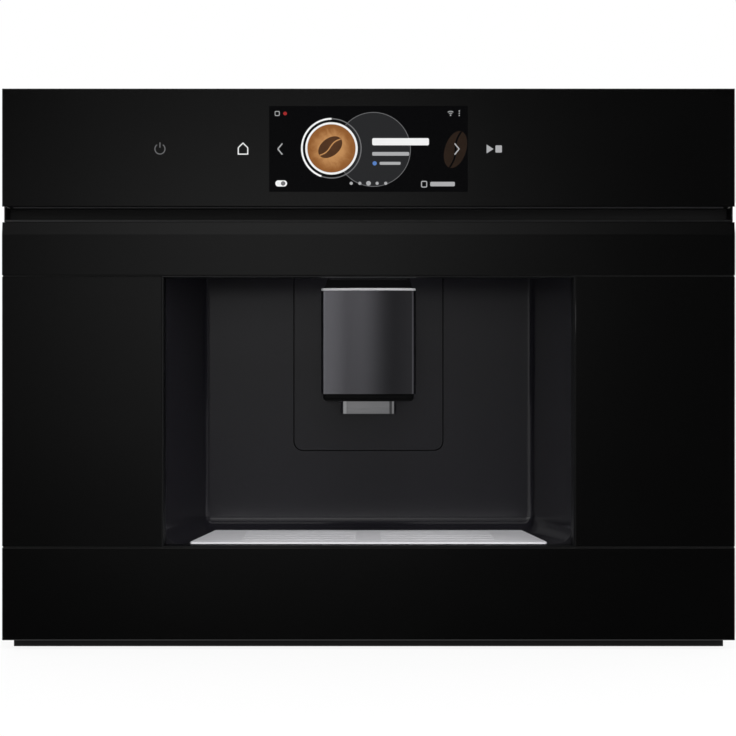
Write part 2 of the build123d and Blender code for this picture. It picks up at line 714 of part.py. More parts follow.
def make_front_frame():
    """The moulded face behind the door, with an opening for each thing that comes out of it."""
    recess_z = DOOR_TOP + SLIDE_CLEAR
    face = rect(-FRAME_HALF, FRAME_HALF, 0, recess_z)
    face += rect(-RECESS_HALF, RECESS_HALF, recess_z, CONTROL_Z)
    liner_half = NICHE_FRONT_HALF + LINER_T + SEAT_CLEAR
    liner_low = NICHE_FLOOR - LINER_T - SEAT_CLEAR
    face -= rect(-liner_half, liner_half, liner_low, NICHE_TOP + LINER_T + SEAT_CLEAR)
    tray_half = TRAY_HALF + TRAY_SIDE_GAP
    face -= rect(-tray_half, tray_half, BOTTOM_BAR, liner_low)
    tank_low, tank_high = TANK_BOTTOM - BAY_MARGIN, TANK_TOP + TANK_LID_T + BAY_MARGIN
    face -= rect(TANK_INNER - BAY_MARGIN, TANK_OUTER + BAY_MARGIN, tank_low, tank_high)
    bean_low, bean_high = BEAN_BOTTOM - BAY_MARGIN, BEAN_TOP + BEAN_LID_T + BAY_MARGIN
    bay_left, bay_right = BEAN_OUTER - BAY_MARGIN, BEAN_INNER + BAY_MARGIN
    face -= rect(bay_left, bay_right, bean_low, bean_high)
    face -= rect(bay_left, bay_right, BREW_BAY_BOTTOM, BREW_BAY_TOP)
    frame = slab(face, FRAME_Y, CABINET_Y)
    for side in (-1, 1):
        lip = sorted((side * FRAME_HALF, side * (CASE_HALF + SEAT_CLEAR)))
        frame += block(*lip, CABINET_Y, CABINET_Y + STOP_LIP, 0, recess_z)
        for z in (FIXING_LOW, DOOR_TOP - FIXING_DROP):
            frame -= bar(side * FIXING_X, z, FRAME_Y, CABINET_Y + STOP_LIP, FIXING_R)
    frame -= bar(BEAN_X, DIAL_Z, FRAME_Y, FRAME_Y + DIAL_WELL_D, DIAL_R + DIAL_WELL)
    frame -= bar(BEAN_X, DIAL_Z, FRAME_Y, CABINET_Y, DIAL_SHAFT_R + ROD_CLEAR)
    for low, high in (hinge_span(False), hinge_span(True)):
        frame -= leaf_block(low, high)
    for side in (-1, 1):
        cap = sorted((side * RECESS_HALF, side * (RECESS_HALF - CAP_T)))
        frame += block(*cap, FACE_Y + CAP_SET, FRAME_Y, recess_z, CONTROL_Z)
    return frame


# ------------------------------------------------------------------ hinges and catches


def hinge_span(upper):
    """Lowest and highest z of one hinge's leaf."""
    if upper:
        top = DOOR_TOP - DOOR_INSET
        return top - LEAF_H, top
    low = DOOR_LIFT + DOOR_INSET
    return low, low + LEAF_H


def leaf_block(low, high):
    left = -FRAME_HALF
    return block(left, left + LEAF_W, FRAME_Y, FRAME_Y + LEAF_T, low, high)


def hinge_arm_span(upper):
    """Lowest and highest z of one hinge's arm."""
    low, high = hinge_span(upper)
    return (high - ARM_T, high) if upper else (low, low + ARM_T)


def make_door_hinges():
    """Two leaves let into the front frame, each with an arm and a pivot pin."""
    hinges = []
    for upper in (False, True):
        low, high = hinge_span(upper)
        arm_low, arm_high = hinge_arm_span(upper)
        hinge = leaf_block(low, high)
        half = ARM_W / 2
        hinge += block(PIVOT_X - half, PIVOT_X + half, PIVOT_Y, FRAME_Y + LEAF_T, arm_low, arm_high)
        hinge += post(PIVOT_X, PIVOT_Y, arm_low, arm_high, half)
        if upper:
            hinge += post(PIVOT_X, PIVOT_Y, arm_low - PIN_LENGTH, arm_low, PIN_R)
        else:
            hinge += post(PIVOT_X, PIVOT_Y, arm_high, arm_high + PIN_LENGTH, PIN_R)
        hinges.append(hinge)
    return Compound(children=hinges)


def catch_places():
    """Centre x and the two centre heights of the magnetic catches."""
    x = HALF_W - CATCH_EDGE
    return x, (DOOR_LIFT + CATCH_LOW, DOOR_TOP - CATCH_HIGH)


def make_door_magnets():
    x, heights = catch_places()
    half = MAGNET_W / 2
    magnets = [
        block(x - half, x + half, DOOR_BACK - MAGNET_T, DOOR_BACK, z - MAGNET_H / 2, z + MAGNET_H / 2)
        for z in heights
    ]
    return Compound(children=magnets)


def make_catch_plates():
    x, heights = catch_places()
    half = MAGNET_W / 2 + CATCH_RIM
    y0 = DOOR_BACK + CATCH_GAP
    plates = [
        block(x - half, x + half, y0, FRAME_Y, z - MAGNET_H / 2, z + MAGNET_H / 2)
        for z in heights
    ]
    return Compound(children=plates)


# ------------------------------------------------------------------ door


def window_outline(grow):
    """The window between the panes, grown by some millimetres."""
    half = WINDOW_HALF + grow
    return rect(-half, half, LOWER_PANE_TOP - grow, TOP_PANE_Z + grow)


def make_door_glass_top():
    """Top pane, whose upper edge is a wide bevel for the fingers."""
    outline = [
        (FACE_Y, TOP_PANE_Z + GLASS_EDGE),
        (FACE_Y, DOOR_TOP - TOP_BEVEL_H),
        (FACE_Y + TOP_BEVEL_D, DOOR_TOP),
        (GLASS_BACK, DOOR_TOP),
        (GLASS_BACK, TOP_PANE_Z),
        (FACE_Y + GLASS_EDGE, TOP_PANE_Z),
    ]
    return across(outline, -HALF_W, HALF_W)


def make_door_glass_side(side):
    x0, x1 = sorted((side * WINDOW_HALF, side * HALF_W))
    return pane(x0, x1, LOWER_PANE_TOP + PANE_GAP, TOP_PANE_Z - PANE_GAP)


def make_door_glass_bottom():
    return pane(-HALF_W, HALF_W, DOOR_LIFT, LOWER_PANE_TOP)


def make_window_trim():
    ring = window_outline(-TRIM_SET) - window_outline(-TRIM_SET - TRIM_T)
    return slab(ring, FACE_Y + TRIM_SET, DOOR_BACK)


def hinge_notches():
    """Corners cut out of the door frame, in which the hinge arms lie."""
    left = -HALF_W + DOOR_INSET
    lower_top = hinge_arm_span(False)[1] + ARM_GAP
    upper_low = hinge_arm_span(True)[0] - ARM_GAP
    notch = rect(left, left + HINGE_NOTCH_W, DOOR_LIFT, lower_top)
    return notch + rect(left, left + HINGE_NOTCH_W, upper_low, DOOR_TOP)


def door_outline():
    half = HALF_W - DOOR_INSET
    outline = rect(-half, half, DOOR_LIFT + DOOR_INSET, DOOR_TOP - DOOR_INSET)
    return outline - window_outline(-TRIM_SET) - hinge_notches()


def make_door_frame():
    """Moulded door frame: a skin behind the glass, with hollow bays and a finger channel along the top."""
    back = DOOR_BACK - INNER_T
    frame = slab(door_outline(), GLASS_BACK, back)
    bay_y = GLASS_BACK + DOOR_SKIN
    edge = HALF_W - DOOR_INSET - DOOR_WALL
    window = WINDOW_HALF + DOOR_WALL
    hinge_side = -HALF_W + DOOR_INSET + HINGE_NOTCH_W + DOOR_WALL
    catch_side = HALF_W - 2 * CATCH_EDGE
    low = DOOR_LIFT + DOOR_INSET + DOOR_WALL
    channel_z = DOOR_TOP - DOOR_INSET - GRIP_CHANNEL_DEPTH
    bays = rect(hinge_side, catch_side, low, LOWER_PANE_TOP - DOOR_WALL)
    bays += rect(-edge, -window, LOWER_PANE_TOP + DOOR_WALL, TOP_PANE_Z - DOOR_WALL)
    bays += rect(window, catch_side, LOWER_PANE_TOP + DOOR_WALL, TOP_PANE_Z - DOOR_WALL)
    bays += rect(hinge_side, catch_side, TOP_PANE_Z + DOOR_WALL, channel_z - DOOR_WALL)
    frame -= slab(bays, bay_y, back)
    half = HALF_W - GRIP_CHANNEL_SIDE
    frame -= block(-half, half, GLASS_BACK + GRIP_CHANNEL_SET, back, channel_z, DOOR_TOP)
    for upper in (False, True):
        arm_low, arm_high = hinge_arm_span(upper)
        if upper:
            bore_low, bore_high = arm_low - PIN_LENGTH - ARM_GAP, arm_low
        else:
            bore_low, bore_high = arm_high, arm_high + PIN_LENGTH + ARM_GAP
        frame -= post(PIVOT_X, PIVOT_Y, bore_low, bore_high, PIN_R + PIN_CLEAR)
    return frame - make_door_magnets()


def make_door_inner_panel():
    """Smooth cover that closes the back of the door."""
    return slab(door_outline(), DOOR_BACK - INNER_T, DOOR_BACK) - make_door_magnets()


# ------------------------------------------------------------------ cup niche


def niche_tub(grow, y_front):
    """The niche as a solid: splayed sides, rounded back corners, coved bottom. grow moves its walls out."""
    slope = (NICHE_FRONT_HALF - NICHE_BACK_HALF) / (NICHE_BACK_Y - FRAME_Y)
    across_wall = grow * math.sqrt(1 + slope * slope)  # wall thickness measured along X
    back = NICHE_BACK_Y + grow
    front_half = NICHE_FRONT_HALF + slope * (FRAME_Y - y_front) + across_wall
    back_half = NICHE_BACK_HALF - slope * grow + across_wall
    tub = tapered(front_half, back_half, y_front, back, NICHE_FLOOR - grow, NICHE_TOP + grow)
    corners = vertical_edges(tub).group_by(Axis.Y)[-1]
    tub = fillet(corners, NICHE_CORNER_R + grow)
    floor = tub.faces().sort_by(Axis.Z)[0]
    coves = floor.edges().sort_by(Axis.Y)[1:]
    return fillet(coves, COVE_R + grow)


def guide_opening(grow):
    """Front view of the guide panel, with its two rounded lower corners, grown by some millimetres."""
    half, low = GUIDE_HALF + grow, GUIDE_BOTTOM - grow
    high = NICHE_TOP - SLIDE_CLEAR
    outline = rect(-half, half, low, high)
    corners = outline.vertices().group_by(Axis.Y)[0]
    return fillet(corners, GUIDE_CORNER_R)


def plate_outline_halves(margin, y0, y1):
    """Half widths of the drip plate's outline at y0 and y1, moved out by a margin."""
    front = half_at(y0, PLATE_FRONT_HALF, PLATE_BACK_HALF, PLATE_Y0, PLATE_Y1) + margin
    back = half_at(y1, PLATE_FRONT_HALF, PLATE_BACK_HALF, PLATE_Y0, PLATE_Y1) + margin
    return front, back


def make_niche_liner():
    """Moulded liner round the cup space, open to the front, with a floor opening for the drip plate."""
    liner = niche_tub(LINER_T, FRAME_Y) - niche_tub(0, FRAME_Y - CUT)
    y1 = PLATE_Y1 + PLATE_MARGIN
    front, back = plate_outline_halves(PLATE_MARGIN, FRAME_Y - CUT, y1)
    low = NICHE_FLOOR - LINER_T - CUT
    liner -= tapered(front, back, FRAME_Y - CUT, y1, low, NICHE_FLOOR + COVE_R)
    liner -= slab(guide_opening(GUIDE_GAP), NICHE_BACK_Y - CUT, FLANGE_Y + CUT)
    return liner


def make_niche_lamp():
    """Lens of the lamp under the niche's ceiling, behind the door's top pane."""
    y0 = FRAME_Y + LAMP_BACK
    lamp = block(-LAMP_W / 2, LAMP_W / 2, y0, y0 + LAMP_D, NICHE_TOP - LAMP_T, NICHE_TOP)
    return fillet(lamp.edges().filter_by(Axis.X).group_by(Axis.Z)[0], LAMP_ROUND)


def make_guide_panel():
    """Panel behind the outlet: its face fills the liner's opening, its flange and lugs carry the rods."""
    face_y = NICHE_BACK_Y - GUIDE_PROUD
    panel = slab(guide_opening(0), face_y, FLANGE_Y)
    wide = GUIDE_HALF + GUIDE_GAP + GUIDE_FLANGE
    low = GUIDE_BOTTOM - GUIDE_GAP - GUIDE_FLANGE
    panel += block(-wide, wide, FLANGE_Y, FLANGE_Y + LINER_T, low, GUIDE_TOP)
    back = FLANGE_Y + LINER_T
    for z in (low, GUIDE_TOP - LUG_T):
        for x in (-ROD_X, ROD_X):
            reach = back + ROD_BACK + ROD_R + LUG_RIM
            lug = block(x - LUG_W / 2, x + LUG_W / 2, back, reach, z, z + LUG_T)
            panel += lug - post(x, back + ROD_BACK, z, z + LUG_T, ROD_R)
    slot = rect(-SLOT_HALF, SLOT_HALF, SLOT_LOW, SLOT_HIGH)
    slot = fillet(slot.vertices(), SLOT_R)
    return panel - slab(slot, face_y - CUT, back + CUT)


def make_guide_rods():
    low = GUIDE_BOTTOM - GUIDE_GAP - GUIDE_FLANGE
    y = FLANGE_Y + LINER_T + ROD_BACK
    return Compound(children=[post(x, y, low, GUIDE_TOP, ROD_R) for x in (-ROD_X, ROD_X)])


# ------------------------------------------------------------------ outlet


def outlet_plan(grow, depth, z0, z1):
    """The outlet's plan with its crowned face, grown by some millimetres; its rear is depth behind the face."""
    half = OUTLET_W / 2 + grow
    face_r = OUTLET_FACE_R + grow
    side_y = OUTLET_Y + OUTLET_FACE_R - math.sqrt(face_r**2 - half**2)
    back = OUTLET_Y + depth
    face = ThreePointArc((-half, side_y), (0, OUTLET_Y - grow), (half, side_y))
    rest = Polyline((half, side_y), (half, back), (-half, back), (-half, side_y))
    solid = extrude(Plane.XY.offset(z0) * make_face([face, rest]), z1 - z0)
    corners = vertical_edges(solid).group_by(Axis.Y)[0]
    return fillet(corners, OUTLET_CORNER_R + grow)


def make_outlet_cover():
    """Brushed metal cover: a thin wrap round the front and sides."""
    top = OUTLET_TOP - OUTLET_TRIM_H
    shell = outlet_plan(0, OUTLET_D, OUTLET_LOW, top)
    return shell - outlet_plan(-COVER_T, OUTLET_D + CUT, OUTLET_LOW - CUT, top + CUT)


def make_outlet_trim():
    """Bright bar along the cover's top edge, chamfered at its front."""
    z0 = OUTLET_TOP - OUTLET_TRIM_H
    trim = outlet_plan(0, OUTLET_D, z0, OUTLET_TOP)
    trim -= outlet_plan(-COVER_T, OUTLET_D + CUT, z0, OUTLET_TOP)
    top = trim.faces().sort_by(Axis.Z)[-1]
    return chamfer(top.edges().sort_by(Axis.Y)[0], TRIM_CHAMFER)


def make_outlet_body():
    """Dark core inside the cover: base below, hipped roof above, and the arm that goes through the slot."""
    base_low = OUTLET_LOW - BASE_H
    core = outlet_plan(-COVER_T, BODY_BACK, base_low, OUTLET_TOP)
    core = fillet(core.edges().group_by(Axis.Z)[0].sort_by(Axis.Y)[:-1], BASE_ROUND)
    half = OUTLET_W / 2 - COVER_T
    front, back = OUTLET_Y + COVER_T, OUTLET_Y + BODY_BACK
    ridge = Plane.XY.offset(OUTLET_TOP + ROOF_H) * rect(
        -half + ROOF_SIDE, half - ROOF_SIDE, front + ROOF_RUN, back
    )
    half_e, front_e = half - EAVES_SET, front + OUTLET_CROWN + EAVES_SET
    eaves = Plane.XY.offset(OUTLET_TOP) * rect(-half_e, half_e, front_e, back)
    core += loft([eaves, ridge])
    core -= nozzle_plan(SLIDE_CLEAR, base_low - CUT, base_low + NOZZLE_SINK)
    arm_back = FLANGE_Y + LINER_T + SLIDE_CLEAR
    core += block(-ARM_HALF, ARM_HALF, back, arm_back, ARM_LOW, ARM_HIGH)
    wall = BODY_WALL
    cavity_front = front + OUTLET_CROWN + wall
    core -= block(-half + wall, half - wall, cavity_front, back - wall, OUTLET_LOW, OUTLET_TOP)
    inside = ARM_HALF - wall
    return core - block(-inside, inside, back - 2 * wall, arm_back, ARM_LOW + wall, ARM_HIGH - wall)


def nozzle_plan(grow, z0, z1):
    half = NOZZLE_W / 2 + grow
    front = OUTLET_Y + NOZZLE_SET - grow
    return rounded_block(-half, half, front, front + NOZZLE_D + 2 * grow, z0, z1, NOZZLE_CORNER_R + grow)


def make_outlet_nozzle():
    """Bright nozzle block with two coffee spouts and one for water and milk."""
    top = OUTLET_LOW - BASE_H + NOZZLE_SINK
    low = top - NOZZLE_H
    nozzle = nozzle_plan(0, low, top)
    y = OUTLET_Y + NOZZLE_SET + NOZZLE_D / 2
    for x in (-SPOUT_PITCH / 2, 0, SPOUT_PITCH / 2):
        nozzle -= post(x, y, low, low + NOZZLE_H / 2, SPOUT_R)
    return nozzle


def make_outlet_carriage():
    """Slider on the two rods, with the shield that closes the slot at every height."""
    flange_back = FLANGE_Y + LINER_T
    shield_y = flange_back + SLIDE_CLEAR
    front = shield_y + SHIELD_T
    rod_y = flange_back + ROD_BACK
    z0, z1 = ARM_LOW - CARRIAGE_EDGE, ARM_HIGH + CARRIAGE_EDGE
    carriage = block(-CARRIAGE_HALF, CARRIAGE_HALF, front, front + CARRIAGE_T, z0, z1)
    for x in (-ROD_X, ROD_X):
        carriage -= post(x, rod_y, z0, z1, ROD_R + ROD_CLEAR)
    low, high = SLOT_LOW - OUTLET_UP, SLOT_HIGH + OUTLET_DOWN
    carriage += block(-SHIELD_HALF, SHIELD_HALF, shield_y, front, low, high)
    middle = (ARM_LOW + ARM_HIGH) / 2
    return carriage - bar(0, middle, shield_y, front + CARRIAGE_T, FEED_R)


# ------------------------------------------------------------------ drip plate, tray and grounds bin


def make_drip_plate():
    """Steel plate with a turned-down rim and drain slots."""
    y0, y1 = PLATE_Y0, PLATE_Y1
    plate = tapered(PLATE_FRONT_HALF, PLATE_BACK_HALF, y0, y1, PLATE_SEAT, PLATE_TOP)
    plate = fillet(vertical_edges(plate), PLATE_CORNER_R)
    front, back = plate_outline_halves(-PLATE_T, y0, y1)
    plate -= tapered(front, back, y0 + PLATE_T, y1 - PLATE_T, PLATE_SEAT, PLATE_TOP - PLATE_T)
    slots = Sketch()
    inner, outer = PLATE_WEB / 2, PLATE_BACK_HALF - PLATE_SLOT_EDGE
    for row in range(PLATE_SLOT_ROWS):
        y = (y0 + y1) / 2 + (row - (PLATE_SLOT_ROWS - 1) / 2) * PLATE_SLOT_PITCH
        for side in (-1, 1):
            slots += Pos(side * (inner + outer) / 2, y) * SlotOverall(outer - inner, PLATE_SLOT_W)
    return plate - Pos(0, 0, PLATE_SEAT) * extrude(slots, amount=PLATE_SKIRT + CUT)


def make_drip_tray():
    """Pull-out tray: a drip basin under the plate, and a bay for the grounds bin behind it."""
    y0, y1 = FACE_Y + TRAY_FRONT, FACE_Y + TRAY_BACK
    tray = rounded_block(-TRAY_HALF, TRAY_HALF, y0, y1, TRAY_BOTTOM, PLATE_SEAT, TRAY_CORNER_R)
    lip_top, lip_half = PLATE_SEAT - TRAY_LIP_DROP, TRAY_LIP_W / 2
    lip = block(-lip_half, lip_half, y0 - TRAY_LIP_T, y0, lip_top - TRAY_LIP_H, lip_top)
    tray += fillet(vertical_edges(lip).group_by(Axis.Y)[0], TRAY_LIP_R)
    inside = TRAY_HALF - TRAY_WALL
    basin_back = PLATE_Y1 + TRAY_WALL
    floor = TRAY_BOTTOM + TRAY_WALL
    tray -= block(-inside, inside, y0 + TRAY_WALL, basin_back, floor, PLATE_SEAT - TRAY_DECK)
    hole_front, hole_back = PLATE_Y0 + TRAY_LEDGE, PLATE_Y1 - TRAY_LEDGE
    front, back = plate_outline_halves(-TRAY_LEDGE, hole_front, hole_back)
    tray -= tapered(front, back, hole_front, hole_back, PLATE_SEAT - TRAY_DECK, PLATE_SEAT)
    tray -= block(-inside, inside, basin_back + TRAY_WALL, y1 - TRAY_WALL, floor, PLATE_SEAT)
    return tray


def make_grounds_container():
    """Bin for the used coffee, seated in the tray's rear bay."""
    inside = TRAY_HALF - TRAY_WALL - BIN_CLEAR
    y0 = PLATE_Y1 + 2 * TRAY_WALL + BIN_CLEAR
    y1 = FACE_Y + TRAY_BACK - TRAY_WALL - BIN_CLEAR
    floor = TRAY_BOTTOM + TRAY_WALL
    box = rounded_block(-inside, inside, y0, y1, floor, BIN_TOP, BIN_CORNER_R)
    return hollowed(box, BIN_WALL)


# ------------------------------------------------------------------ water tank


def make_water_tank():
    """Clear tank with a grip let into its front and a valve spout at its rear."""
    y0, y1 = FACE_Y + TANK_FRONT, FACE_Y + TANK_BACK
    tank = rounded_block(TANK_INNER, TANK_OUTER, y0, y1, TANK_BOTTOM, TANK_TOP, TANK_CORNER_R)
    cavity = rounded_block(
        TANK_INNER + TANK_WALL,
        TANK_OUTER - TANK_WALL,
        y0 + TANK_WALL,
        y1 - TANK_WALL,
        TANK_BOTTOM + TANK_WALL,
        TANK_TOP,
        TANK_CORNER_R - TANK_WALL,
    )
    grip_half = TANK_GRIP_W / 2
    wall = TANK_WALL
    grip_low = TANK_TOP - TANK_GRIP_H
    pocket = grip_half + wall
    pocket_back = y0 + TANK_GRIP_D + wall
    cavity -= block(TANK_X - pocket, TANK_X + pocket, y0, pocket_back, grip_low - wall, TANK_TOP)
    tank -= cavity
    tank -= block(TANK_X - grip_half, TANK_X + grip_half, y0, y0 + TANK_GRIP_D, grip_low, TANK_TOP)
    spout = bar(TANK_X, VALVE_Z, y1 - TANK_WALL / 2, y1 + VALVE_LENGTH, VALVE_R)
    bore = bar(TANK_X, VALVE_Z, y1 - 2 * TANK_WALL, y1 + VALVE_LENGTH, VALVE_R - TANK_WALL)
    return tank + spout - bore


def make_tank_lid():
    """Lid with a filling mouth, undercut at its front for the fingers."""
    y0, y1 = FACE_Y + TANK_FRONT, FACE_Y + TANK_BACK
    lid = rounded_block(TANK_INNER, TANK_OUTER, y0, y1, TANK_TOP, TANK_TOP + TANK_LID_T, TANK_CORNER_R)
    grip_half = TANK_GRIP_W / 2
    top = TANK_TOP + TANK_LID_T
    lid -= block(TANK_X - grip_half, TANK_X + grip_half, y0, y0 + TANK_GRIP_D, TANK_TOP, top - TANK_WALL)
    half, mouth = FILL_MOUTH_W / 2, y0 + FILL_MOUTH_SET
    return lid - rounded_block(
        TANK_X - half, TANK_X + half, mouth, mouth + FILL_MOUTH_L, TANK_TOP - CUT, top + CUT, FILL_MOUTH_R
    )


def make_tank_dock():
    """Seat on the base pan, whose rear wall takes the tank's valve spout."""
    y0 = CABINET_Y + DOCK_SET
    port_y = FACE_Y + TANK_BACK + DOCK_PORT_GAP
    y1 = port_y + DOCK_PORT_T
    dock = block(TANK_INNER, TANK_OUTER, y0, y1, FLOOR_Z, TANK_BOTTOM)
    dock -= block(
        TANK_INNER + DOCK_WALL,
        TANK_OUTER - DOCK_WALL,
        y0 + DOCK_WALL,
        port_y,
        FLOOR_Z,
        TANK_BOTTOM - DOCK_WALL,
    )
    dock += block(TANK_INNER, TANK_OUTER, port_y, y1, TANK_BOTTOM, TANK_BOTTOM + DOCK_PORT_H)
    return dock - bar(TANK_X, VALVE_Z, port_y, y1, VALVE_R + VALVE_CLEAR)


# ------------------------------------------------------------------ beans and grinder


def make_bean_container():
    """Bean container whose floor slopes to a port in its rear wall."""
    y0, y1 = FACE_Y + TANK_FRONT, FACE_Y + BEAN_BACK
    box = rounded_block(BEAN_OUTER, BEAN_INNER, y0, y1, BEAN_BOTTOM, BEAN_TOP, BEAN_CORNER_R)
    floor = BEAN_BOTTOM + BEAN_WALL
    cavity = [
        (y0 + BEAN_WALL, floor + BEAN_SLOPE),
        (y1 - BEAN_WALL, floor),
        (y1 - BEAN_WALL, BEAN_TOP),
        (y0 + BEAN_WALL, BEAN_TOP),
    ]
    box -= across(cavity, BEAN_OUTER + BEAN_WALL, BEAN_INNER - BEAN_WALL)
    hollow = [
        (y0 + BEAN_WALL, BEAN_BOTTOM),
        (y0 + BEAN_WALL, BEAN_BOTTOM + BEAN_SLOPE),
        (y1 - 3 * BEAN_WALL, BEAN_BOTTOM),
    ]
    box -= across(hollow, BEAN_OUTER + BEAN_WALL, BEAN_INNER - BEAN_WALL)
    port = BEAN_PORT_W / 2
    return box - block(BEAN_X - port, BEAN_X + port, y1 - 2 * BEAN_WALL, y1, floor, floor + BEAN_PORT_H)


def make_bean_lid():
    """Aroma lid with a lip inside the container and a finger rim."""
    y0, y1 = FACE_Y + TANK_FRONT, FACE_Y + BEAN_BACK
    top, rim = BEAN_TOP + BEAN_LID_T, BEAN_LID_RIM
    lid = rounded_block(BEAN_OUTER, BEAN_INNER, y0, y1, BEAN_TOP, top, BEAN_CORNER_R)
    x0, x1 = BEAN_OUTER + rim, BEAN_INNER - rim
    return lid - rounded_block(x0, x1, y0 + rim, y1 - rim, top - BEAN_LID_T / 2, top, BEAN_CORNER_R)


def make_bean_shelf():
    """Shelf between side panel and front frame that carries the beans above and the grinder below."""
    y0, y1 = CABINET_Y, FACE_Y + SHELF_BACK
    low, right = BEAN_BOTTOM - SHELF_T, BEAN_INNER + SHELF_OVER
    shelf = block(-INNER_HALF, right, y0, y1, low, BEAN_BOTTOM)
    shelf += block(-INNER_HALF, -INNER_HALF + SHELF_LIP_T, y0, y1, BEAN_BOTTOM, BEAN_BOTTOM + FLANGE_H)
    return shelf - post(GRINDER_X, GRINDER_Y, BEAN_BOTTOM - SHELF_T, BEAN_BOTTOM, THROAT_R)


def make_grinder_hopper():
    """Covered channel from the bean container's port to the grinder's throat."""
    y0 = FACE_Y + BEAN_BACK + SLIDE_CLEAR
    y1 = FACE_Y + HOPPER_BACK
    half = HOPPER_W / 2
    top = BEAN_BOTTOM + HOPPER_H
    hopper = block(GRINDER_X - half, GRINDER_X + half, y0, y1, BEAN_BOTTOM, top)
    floor = BEAN_BOTTOM + BEAN_WALL
    port = BEAN_PORT_W / 2
    hopper -= block(GRINDER_X - port, GRINDER_X + port, y0, y1 - HOPPER_WALL, floor, floor + BEAN_PORT_H)
    return hopper - post(GRINDER_X, GRINDER_Y, BEAN_BOTTOM, floor, THROAT_R)


def grinder_levels():
    """Top and bottom of the grinder housing."""
    top = BEAN_BOTTOM - SHELF_T
    return top, top - GRINDER_H


def make_grinder_housing():
    """Cup under the shelf that holds the ring burr; the ground coffee leaves through its front."""
    top, low = grinder_levels()
    bore = BURR_SHAFT_R + ROD_CLEAR
    seat = top - RING_H  # underside of the ring burr
    outline = [
        (bore, low),
        (GRINDER_R - GRINDER_EDGE, low),
        (GRINDER_R, low + GRINDER_EDGE),
        (GRINDER_R, top),
        (RING_R, top),
        (RING_R, seat - CHUTE_GAP),
        (bore, seat - CHUTE_GAP),
    ]
    cup = turned(GRINDER_X, GRINDER_Y, outline)
    half = CHUTE_HALF - CHUTE_WALL
    front = GRINDER_Y - GRINDER_R
    return cup - block(GRINDER_X - half, GRINDER_X + half, front, GRINDER_Y, seat - CHUTE_GAP, seat)


def make_ring_burr():
    """Fixed outer burr, whose bore narrows downwards to the grinding gap."""
    top, _ = grinder_levels()
    low = top - RING_H
    outline = [
        (CONE_LOW_R + BURR_GAP, low),
        (RING_R, low),
        (RING_R, top),
        (CONE_HIGH_R + BURR_GAP + BURR_MOUTH, top),
    ]
    return turned(GRINDER_X, GRINDER_Y, outline)


def make_cone_burr():
    """Turning inner burr: a cone with a ring of cutting grooves, on its drive shaft."""
    top, low = grinder_levels()
    z0, z1 = top - RING_H, top - DIAL_SHAFT_R
    outline = [
        (0, low - BURR_TAIL),
        (BURR_SHAFT_R, low - BURR_TAIL),
        (BURR_SHAFT_R, z0),
        (CONE_LOW_R, z0),
        (CONE_HIGH_R, z1),
        (0, z1),
    ]
    cone = turned(GRINDER_X, GRINDER_Y, outline)
    lean = math.degrees(math.atan2(CONE_LOW_R - CONE_HIGH_R, z1 - z0))
    cutter = Rot(0, -lean, 0) * Rot(0, 0, 45) * Box(BURR_TOOTH, BURR_TOOTH, CUTTER_L)
    for tooth in range(BURR_TEETH):
        turn = Rot(0, 0, 360 * tooth / BURR_TEETH)
        cone -= Pos(GRINDER_X, GRINDER_Y, z0) * turn * Pos(CONE_LOW_R + BURR_TOOTH_OUT, 0, 0) * cutter
    return cone


def make_grinder_motor():
    """Motor under the grinder cup, with a flange, a bevelled end cap and a socket for the burr's shaft."""
    _, top = grinder_levels()
    low = top - MOTOR_H
    bore = BURR_SHAFT_R + ROD_CLEAR
    flange = GRINDER_R - GRINDER_EDGE
    socket = top - BURR_TAIL - SLIDE_CLEAR
    outline = [
        (0, low),
        (MOTOR_R - MOTOR_EDGE, low),
        (MOTOR_R, low + MOTOR_EDGE),
        (MOTOR_R, top - MOTOR_FLANGE_T),
        (flange, top - MOTOR_FLANGE_T),
        (flange, top),
        (bore, top),
        (bore, socket),
        (0, socket),
    ]
    return turned(GRINDER_X, GRINDER_Y, outline)


def make_grind_dial():
    """Fineness knob in its well, with a ribbed rim and a shaft through the front frame."""
    y0 = FRAME_Y + SLIDE_CLEAR
    y1 = y0 + DIAL_T
    dial = bar(BEAN_X, DIAL_Z, y0, y1, DIAL_R)
    for rib in range(DIAL_RIBS):
        angle = 2 * math.pi * rib / DIAL_RIBS
        x, z = BEAN_X + DIAL_R * math.sin(angle), DIAL_Z + DIAL_R * math.cos(angle)
        dial -= bar(x, z, y0, y1, DIAL_RIB_R)
    half = DIAL_MARK / 2
    low, high = DIAL_Z + DIAL_SHAFT_R, DIAL_Z + DIAL_R
    dial -= block(BEAN_X - half, BEAN_X + half, y0, y0 + DIAL_MARK, low, high)
    return dial + bar(BEAN_X, DIAL_Z, y1, CABINET_Y + DIAL_SHAFT_END, DIAL_SHAFT_R)


def make_coffee_chute():
    """Sloping duct that drops the ground coffee into the brewing chamber."""
    top, _ = grinder_levels()
    wall, half = CHUTE_WALL, CHUTE_HALF
    y_in, y_out = GRINDER_Y - GRINDER_R + GRINDER_EDGE, FACE_Y + BREW_BACK + SLIDE_CLEAR
    seat = top - RING_H
    mouth = CHAMBER_HIGH + CHUTE_STEP
    outline = [
        (y_in, seat + wall),
        (y_in, seat - CHUTE_GAP - wall),
        (y_out, mouth),
        (y_out, mouth + CHUTE_MOUTH),
    ]
    hollow = [
        (y_in, seat),
        (y_in, seat - CHUTE_GAP),
        (y_out, mouth + CHUTE_LIP),
        (y_out, mouth + CHUTE_MOUTH - CHUTE_LIP),
    ]
    duct = across(outline, GRINDER_X - half, GRINDER_X + half)
    duct -= across(hollow, GRINDER_X - half + wall, GRINDER_X + half - wall)
    return duct - post(GRINDER_X, GRINDER_Y, mouth, top, GRINDER_R)


# ------------------------------------------------------------------ brewing unit


